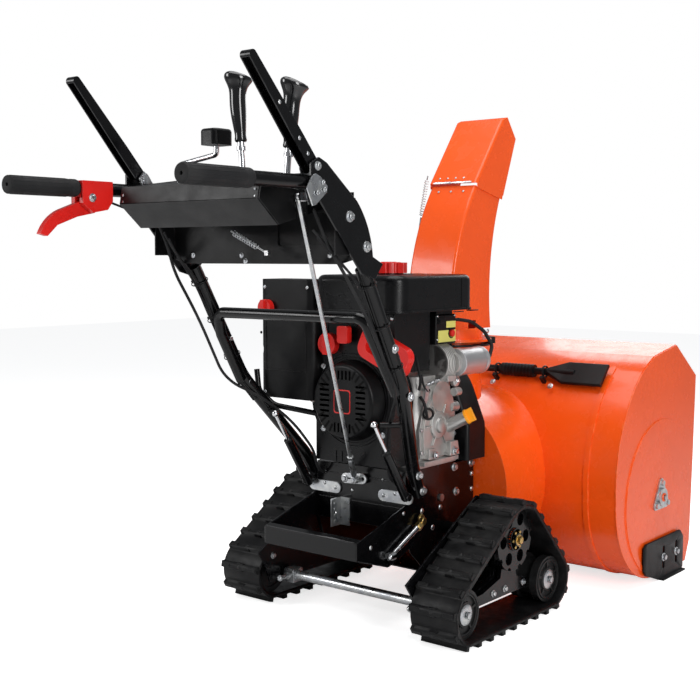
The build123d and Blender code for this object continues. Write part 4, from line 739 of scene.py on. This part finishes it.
def tank_trim():
    """The tank's seam and straps, and the crown of the fuel cap."""
    seam = Shape()
    seam.block((TANK_SIDE + 0.1, TANK_SEAM_Y, 690), (0.8, 2.0, 60))
    seam.block((34, TANK_SEAM_Y, TANK_TOP + 0.1), (196, 2.0, 0.8))
    seam.done("tank_seam", SEAM_AND_SHADE_BLACK, "chassis", "black_cover")
    cap = Shape()
    cap.lathe(FUEL_CAP, Z, [(0, 0), (26, 0), (26, 0.9), (24.5, 1.6), (20, 1.6), (19, 0.8), (0, 0.8)], 36)
    cap.block(FUEL_CAP + Z * 1.2, (36, 5, 2.4))
    cap.done("fuel_cap_crown", RED, "fuel_cap", "red_plastic", edge=0.5)
    straps = Shape()
    straps.block((TANK_SIDE + 6.2, 60, 650), (3, 36, 2.2))
    straps.block((TANK_SIDE + 2, 120, 651), (14, 26, 2.4))
    straps.done("tank_straps", BLACK, "chassis", "black_paint", edge=0.4)


def crankcase_trim():
    """The right side of the engine, from cover to governor."""
    cast = Shape()
    cover = [(-30, 344), (-34, 402), (-22, 446), (6, 482), (46, 494), (84, 478), (99, 440), (99, 380),
             (84, 344), (30, 336)]
    cast.plate(cover, (ENGINE_SIDE, 0, 0), Y, Z, 6.5)
    inner = [(-22, 352), (-25, 400), (-14, 440), (10, 472), (46, 484), (78, 470), (91, 438), (91, 384),
             (78, 352), (30, 344)]
    cast.plate(inner, (ENGINE_SIDE + 6, 0, 0), Y, Z, 4.5)
    cast.lathe((ENGINE_SIDE + 10, COVER_Y, COVER_Z), X,
               [(30, 0), (30, 3), (26, 5), (17, 5), (15, 9), (11, 11), (0, 11)], 32)
    for angle in SIXTHS:
        cast.block(Vector((ENGINE_SIDE + 12, COVER_Y, COVER_Z)) + spoke(angle) * 38, (5, 3, 20),
                   tipped(angle - 90))
    cast.block((124, 30, 334), (22, 126, 9))
    cast.block((128, 74, 356), (22, 34, 30), taper=0.8)
    cast.block((126, -2, 352), (14, 26, 22), taper=0.85)
    cast.lathe((118, 99, 442), Y, [(0, -20), (12, -20), (12, 6), (9, 8), (0, 8)])
    cast.lathe((121, 92, 499), X, [(0, 0), (13, 0), (13, 8), (9, 10), (0, 10)])
    for y in range(30, 67, 6):
        cast.lathe((108, y, STARTER_Z), Y, [(0, 0), (42, 0), (42.4, 1.2), (42, 2.4), (0, 2.4)], 36)
    cast.block((134, 52, 508), (20, 30, 12))
    cast.lathe((STARTER_X, 58, STARTER_Z), Y, [(0, 0), (22, 0), (22, 14), (0, 14)], 28)
    cast.lathe((150, 66, 480), Y, [(0, -16), (9, -16), (9, 4), (7, 6), (0, 6)])
    cast.done("crankcase_castings", CAST, "chassis", "cast_alloy", edge=0.8)
    bolts = Shape()
    for y, z in ((-28, 356), (-30, 404), (-16, 444), (12, 477), (48, 488), (80, 474), (94, 438), (94, 384),
                 (80, 350)):
        bolts.bolt((ENGINE_SIDE + 6.4, y, z), X, 4.4, flange=False)
    bolts.bolt((136, 6, 349), X, 5.4)
    bolts.bolt((139, 74, 350), X, 6.6)
    bolts.bolt((131, 92, 499), X, 5.2)
    bolts.dome((STARTER_X, 184, STARTER_Z), Y, 3.6, 2)
    for spin in (0.6, 2.2, 3.8, 5.2):
        rod_x, rod_z = STARTER_X + 26.5 * cos(spin), STARTER_Z + 26.5 * sin(spin)
        bolts.tube([(rod_x, 84, rod_z), (rod_x, 160, rod_z)], 1.7, 6, 0)
    bolts.done("engine_bolts", ZINC, "chassis", "zinc")
    motor = Shape()
    motor.lathe((STARTER_X, 72, STARTER_Z), Y, [(20, 0), (29.6, 0), (30.2, 1), (30.2, 9), (29.6, 10)], 36)
    motor.lathe((STARTER_X, 158, STARTER_Z), Y,
                [(29.6, 0), (30.2, 1), (30.2, 11), (27, 14), (12, 14), (11, 18), (0, 18)], 36)
    motor.block((112, 118, 560), (18, 46, 12))
    motor.done("starter_end_caps", MOTOR, "chassis", "motor_steel", edge=0.6)
    hoses = Shape()
    hoses.tube([(118, -26, 474), (132, -32, 462), (136, -30, 442), (130, -18, 430), (122, -8, 434)], 3.2, 10)
    hoses.ring((128, -12, 438), (0.8, -0.5, 0.2), 11, 2.6, 24)
    hoses.tube([(116, -20, 520), (124, -24, 500), (126, -14, 486), (120, 4, 486)], 2.4, 8)
    hoses.tube([(112, -36, 560), (124, -44, 540), (128, -40, 512), (120, -34, 490)], 3.0, 8)
    hoses.done("engine_hoses", GRIP, "chassis", "grip_rubber")
    links = Shape()
    links.plate([(0, 0), (9, -2), (22, 30), (18, 46), (10, 46), (8, 30)], (126, -30, 452), Y, Z, 1.6)
    links.coil((128, -16, 500), (128, 26, 506), 3.2, 0.7, 12)
    links.tube([(128, -20, 498), (128, 44, 508)], 1.1, 6, 0)
    links.done("governor_link", ZINC, "chassis", "zinc")


def switch_box_trim():
    """The right face of the starter switch box."""
    plain = Shape()
    for near, low, high in ((36, 584, 609), (66, 614, 628)):
        plain.plate([(near, low), (101, low), (101, high), (near, high)], (SWITCH_SIDE - 0.1, 0, 0),
                    Y, Z, 0.7)
    plain.done("plain_switch_plate", PALE, "chassis", "yellow_plastic")
    shape = Shape()
    shape.block((SWITCH_SIDE, 48, 630), (4, 26, 14))
    shape.block((SWITCH_SIDE + 2, 48, 630), (3, 18, 8), tipped(9))
    shape.lathe((SWITCH_SIDE - 0.4, 84, 602), X, [(9.2, 0), (11, 0), (11, 2.4), (9.6, 3), (9.2, 3)], 28)
    shape.block((99, 66, 655.6), (34, 66, 2))
    shape.done("switch_box_fittings", SATIN, "chassis", "black_plastic", edge=0.4)
    screws = Shape()
    for y, z in ((34, 640), (98, 640), (34, 590)):
        screws.dome((SWITCH_SIDE, y, z), X, 2.6, 1.4)
    screws.done("switch_box_screws", ZINC, "chassis", "zinc")


# ---- chassis and tracks
def chassis_trim():
    """Bolts, folded edges and the track lock strut."""
    shape = Shape()
    for side in SIDES:
        for y, z in ((101, 309), (168, 309), (108, 254), (150, 160)):
            shape.bolt((CHASSIS_SIDE * side, y, z), X * side, 6.6)
        for y, z in ((171, 284), (171, 250), (48, 229), (20, 190), (-20, 232)):
            shape.dome((CHASSIS_SIDE * side, y, z), X * side, 6.2, 3.0)
        shape.bolt((side * 149.5, -60, 286), X * side, 7.0)
        shape.bolt((side * 156.5, -84, 322), X * side, 7.0)
        for x, z in ((65, 269), (95, 276)):
            shape.dome((side * x, CHASSIS_REAR - 4, z), -Y, 4.2, 2.2)
        for y, z in ((-200, 190), (-120, 168), (-90, 240)):
            shape.dome((side * 122.6, y, z), X * side, 4.6, 2.2)
    for x, z in ((-69, 271), (-22, 268), (60, 300), (-96, 300)):
        shape.dome((x, CHASSIS_REAR, z), -Y, 3.2, 1.6)
    for z in (200, 212, 226, 238):
        shape.lathe((-50.4, -101, z), X, [(2.6, 0), (4.4, 0), (4.4, 0.9), (2.6, 0.9)], 20)
    shape.done("chassis_bolts", ZINC, "chassis", "zinc")
    edges = Shape()
    edges.block((0, CHASSIS_REAR - 0.8, 300), (232, 1.6, 3))
    edges.block((0, CHASSIS_REAR - 0.8, 246), (232, 1.6, 2.4))
    edges.block((0, -246, 207), (236, 4, 4))
    for side in SIDES:
        edges.block((side * (CHASSIS_SIDE + 2), -152, 232), (3, 196, 3.4),
                    tipped(16.8))
    edges.done("chassis_folds", BLACK, "chassis", "black_paint", edge=0.8)
    brass = Shape()
    brass.lathe((STRUT_X, -48, 207), (0, -0.91, -0.41), [(0, -6), (9, -6), (9, 6), (7, 8), (0, 8)], 6)
    brass.disc((STRUT_X, -38, 216), X, 8, 8, 1)
    brass.disc((124, -33, 219), X, 10, 5, 1)
    brass.done("strut_fittings", BRASS, "chassis", "zinc", edge=0.5)
    strut = Shape()
    strut.tube([(STRUT_X, -56, 204), (STRUT_X, -120, 175)], 6.2, 16, 0)
    strut.tube([(STRUT_X, -116, 176.5), (STRUT_X, -146, 163)], 4.6, 16, 0)
    strut.lathe((STRUT_X, -136, 163), Y, [(0, -14), (8.6, -14), (9.2, -8), (9.2, 0), (6, 2), (0, 2)], 18)
    strut.done("lock_strut_sleeve", CHROME, "chassis", "chrome")


def belt_spots():
    """The y, z and outward direction of every lug, evenly spaced round the belt."""
    wheel, sprocket = WHEEL_RADIUS + BELT_THICK, SPROCKET_RADIUS + BELT_THICK
    circles = [((y, WHEEL_Z), wheel) for _, y in reversed(WHEELS)] + [((AXLE_Y, AXLE_Z), sprocket)]
    normals, spans = [], []
    for index in range(3):
        (start, start_r), (end, end_r) = circles[index], circles[(index + 1) % 3]
        run = (end[0] - start[0], end[1] - start[1])
        normals.append(atan2(run[1], run[0]) - pi / 2 - asin((end_r - start_r) / hypot(*run)))
    for index in range(3):
        centre, radius = circles[index]
        turn = (normals[index] - normals[index - 1]) % (2 * pi)
        spans.append((centre, radius, normals[index - 1], turn, radius * turn))
        after, after_r = circles[(index + 1) % 3]
        run = hypot(after[0] - centre[0], after[1] - centre[1])
        spans.append((centre, radius, normals[index], 0, (run ** 2 - (after_r - radius) ** 2) ** 0.5))
    total = sum(span[4] for span in spans)
    for lug in range(LUGS):
        left = total * lug / LUGS
        for centre, radius, angle, turn, length in spans:
            if left <= length:
                break
            left -= length
        if turn:
            angle += left / radius
            left = 0
        out = (cos(angle), sin(angle))
        yield centre[0] + radius * out[0] - left * out[1], centre[1] + radius * out[1] + left * out[0], out


def track_trim():
    """Lug pads, hub caps, axle ends and bolts of both tracks."""
    pins, pads = Shape(), Shape()
    for side in SIDES:
        for y, z, out in belt_spots():
            if z < 30:  # the pads on the ground run would sink into the floor
                continue
            axis = Vector((0, out[0], out[1]))
            top = Vector((side * TRACK_X, y, z)) + axis * LUG_HEIGHT
            pins.dome(top, axis, 4.4, 1.9, 3, 12)
            turn = Matrix((X, axis.cross(X), axis)).transposed().to_4x4()
            for end in SIDES:
                pads.block(top + X * (end * 39) + axis * 0.6, (24, 9.5, 2.4), turn, taper=0.9)
                pads.block(top + X * (end * 50.5) - axis * 4, (6, 17, 8), turn, taper=0.8)
            pads.block(top - axis * 4.4, (20, 19, 7), turn, taper=0.85)
    pads.done("track_lug_pads", TREAD, "undercarriage", "track_rubber", edge=0.8)
    pins.done("track_lug_pins", WHEEL, "undercarriage", "track_rubber")
    for body, y in WHEELS:
        caps, hubs = Shape(), Shape()
        for side in SIDES:
            hub = Vector((side * TRACK_FACE, y, WHEEL_Z))
            out = X * side
            caps.lathe(hub + out * 0.6, out, [(0, 0), (21, 0), (21, 1.6), (17, 3.4), (9, 3.6), (0, 3.6)], 32)
            caps.bolt(hub + out * 4, out, 7.4, flange=False)
            for angle in range(18, 360, 72):
                caps.dome(hub + out + spoke(angle) * 14.5, out, 2.2, 3.6, 3, 10)
                hubs.block(hub - out * 2 + spoke(angle) * 31, (3, 5, 15),
                           tipped(angle - 90))
            hubs.ring(hub, X, 43, 1.5, 40)
        caps.done(body + "_hub_caps", ZINC, body, "zinc")
        hubs.done(body + "_ribs", WHEEL, body, "wheel_plastic", edge=0.5)
    axle = Shape()
    for side in SIDES:
        axle.bolt((side * (TRACK_FACE + 3.6), AXLE_Y, AXLE_Z), X * side, 8.2)
        bolt_circle(axle, Vector((side * (TRACK_FACE - 1), AXLE_Y, AXLE_Z)), X * side, 17, SIXTHS, 3.6)
    axle.done("axle_bolts", BRASS, "axle", "zinc")
    spot = Shape()
    for side in SIDES:
        spot.lathe((side * (TRACK_FACE - 6), AXLE_Y, AXLE_Z), X * side,
                   [(0, 0), (24, 0), (24, 3), (22, 5), (0, 5)], 28)
    spot.done("axle_end_discs", ORANGE, "axle", "orange_paint")
    frame_bolts = Shape()
    for side in SIDES:
        for y, z in ((-51, 72), (140, 72), (20, 74), (66, 74), (79, 136)):
            frame_bolts.bolt((side * 271, y, z), X * side, 5.4)
        for y, z in ((-95, 62), (-140, 110), (0, 190), (180, 90)):
            frame_bolts.bolt((side * 196, y, z), -X * side, 5.4)
    frame_bolts.done("track_frame_bolts", ZINC, "undercarriage", "zinc")
    ends = Shape()
    for side in SIDES:
        ends.lathe((side * 160, -95, CROSSBAR_Z), X * side, [(0, 0), (14, 0), (14, 3), (0, 3)], 20)
        ends.ring((side * 176, -118, CROSSBAR_Z), Y, 6.8, 1.4, 20)
    ends.done("crossbar_collars", ZINC, "undercarriage", "zinc")


# ---- housing and chute
def chute_trim():
    """Hinge, rivets, side aprons and pull spring of the deflector."""
    hinge = Shape()
    hinge.tube([(-52, HINGE_Y, HINGE_Z), (52, HINGE_Y, HINGE_Z)], 2.4, 10, 0)
    for x in (-40, -13, 13, 40):
        hinge.tube([(x - 9, HINGE_Y, HINGE_Z), (x + 9, HINGE_Y, HINGE_Z)], 3.0, 10, 0)
    hinge.done("deflector_hinge", ZINC, "chute", "zinc")
    rivets = Shape()
    for x in (-40, -18, 4, 26):
        rivets.dome((x, 270.4, 946.4), (0, -0.8, 0.6), 2.6, 1.1)
    rivets.done("deflector_rivets", ZINC, "deflector", "zinc")
    half = max(vert.co.x for vert in NODES["chute_deflector"].data.vertices) / MM
    apron = Shape()
    for side in SIDES:
        apron.plate([(268, 935.5), (379, 911.5), (375, 899), (268, 923)],
                    (0.1 - half if side < 0 else half - 1.5, 0, 0), Y, Z, 1.4)
    apron.done("deflector_aprons", ORANGE, "deflector", "orange_paint", edge=0.3)
    rivets = Shape()
    for x in (-34, 0, 34):
        rivets.dome((x, 256.6, 915), (0, -0.9, 0.42), 2.6, 1.1)
    for x, y, z in ((62, 322, 592), (-62, 322, 592), (62, 250, 592)):
        rivets.dome((x, y, z), X if x > 0 else -X, 5.4, 2.6)
    rivets.done("chute_bolts", ZINC, "chute", "zinc")
    pull = Shape()
    pull.coil((PULL_X, 262, 944), (PULL_X, 240, 862), 4.2, 1.0, 14)
    pull.tube([(PULL_X, 266, 954), (PULL_X, 262, 944)], 1.4, 8, 0)
    cable = ((240, 862), (226, 800), (214, 740), (206, 690), (198, 640))
    pull.tube([(PULL_X, y, z) for y, z in cable], 2.0, 8)
    pull.block((PULL_X + 5, 238, 858), (12, 9, 3))
    pull.block((PULL_X + 5, 208, 700), (12, 7, 4))
    pull.done("deflector_pull_spring", ZINC, "chute", "zinc")


def housing_trim():
    """Housing bolts, and the clips and rings of the cleaning tool."""
    bolts = Shape()
    for side in SIDES:
        for y in (595, 668):
            bolts.bolt((side * 389, y, 52), X * side, 7.0)
        bolt_circle(bolts, Vector((side * 384.6, AUGER_Y, AUGER_Z)), X * side, 34, (90, 210, 330), 4.6)
    for x in (20, 177):
        bolts.bolt((x, 416, 462), (0, -0.78, 0.62), 5.0)
    bolts.done("housing_bolts", ZINC, "chassis", "zinc")
    clips = Shape()
    for x in (20, 150):
        clips.ring((x, TOOL_Y, TOOL_Z), X, 13, 2.0, 24)
        clips.block((x, 430, 474), (10, 8, 22), tipped(46))
    clips.done("tool_clips", SATIN, "chassis", "black_plastic", edge=0.5)
    ribs = Shape()
    for k in range(9):
        ribs.ring((44 + k * 9, TOOL_Y, TOOL_Z), X, 14.8, 1.1, 24)
    ribs.done("tool_handle_rings", SATIN, "cleaning_tool", "black_plastic")


def speed_linkage_trim():
    """The speed rod's clevis, and the gas springs' eyes and seals."""
    foot, head = Vector((0, -97, 296)), Vector((184, -484, 868))
    unit = (foot - head).normalized()
    shape = Shape()
    shape.lathe(foot - unit * 62, unit, [(0, 0), (5.0, 0), (6.4, 2), (6.4, 46), (5.0, 50), (0, 50)], 6)
    shape.lathe(foot - unit * 70, unit, [(0, 0), (6.8, 0), (6.8, 6), (0, 6)], 6)
    shape.bolt(foot + Vector((0, -5.2, 0)), -Y, 5.2)
    shape.done("speed_rod_clevis", ZINC, "speed_rod", "zinc")
    Shape().bolt((-34, -89.4, 293.6), -Y, 5.6).done("speed_arm_pin", ZINC, "chassis", "zinc")
    eyes = Shape()
    for side in SIDES:
        eyes.lathe((side * STRUT_X, *GAS_SPRING_FOOT), X * side,
                   [(0, -3), (7.5, -3), (7.5, 11.4), (0, 11.4)], 20)
    eyes.done("gas_spring_eyes", BLACK, "gas_cylinders", "black_paint")
    collars = Shape()
    for side in SIDES:
        base = Vector((side * STRUT_X, *GAS_SPRING_FOOT))
        out = (Vector((side * STRUT_X, *GAS_SPRING_HEAD)) - base).normalized()
        collars.lathe(base + out * 117, out, [(0, 0), (9.6, 0), (9.6, 3.4), (7.5, 5), (0, 5)], 24)
    collars.done("gas_spring_seals", SATIN, "gas_cylinders", "black_plastic")


def auger_trim():
    """The auger shaft's end nuts and the gearbox bolts."""
    bolts = Shape()
    for side in SIDES:
        bolts.bolt((side * 391.4, AUGER_Y, AUGER_Z), X * side, 6.4)
    bolts.done("auger_end_nuts", ZINC, "auger", "zinc")
    gearbox = Shape()
    for side in SIDES:
        bolt_circle(gearbox, Vector((side * 37, AUGER_Y, AUGER_Z)), X * side, 42, SIXTHS, 3.8)
    gearbox.done("gearbox_bolts", ZINC, "chassis", "zinc")


def paint_details():
    """Second finishes on parts of CAD nodes, picked by where each face sits (mm)."""
    second_finish("speed_lever", SATIN, lambda p: p.z > 968)
    for side, name in LEVERS:
        second_finish(name, ZINC, lambda p, s=side: s * p.x < 205.5)
    second_finish("engine_shroud", BLACK, lambda p: p.y < -129 and p.z < 540)
    second_finish("zinc_hardware", CHROME, lambda p: 122 < p.x < 140 and p.z < 222 and p.y < -30)


place_camera()
place_lights()
place_floor()
dress_cad()
paint_details()
hand_grips()
joystick("joystick_left", 50, -4, 119, 0.90)
joystick("joystick_right", 146, 6, 102, 0.86)
for lever_side, lever_body in LEVERS:
    lever_trim(lever_side, lever_body)
trigger_trim()
console_trim()
loose_cables()
engine_cover_trim()
recoil_trim()
tank_trim()
crankcase_trim()
switch_box_trim()
chassis_trim()
track_trim()
chute_trim()
housing_trim()
speed_linkage_trim()
auger_trim()

scene.view_settings.view_transform = "Standard"
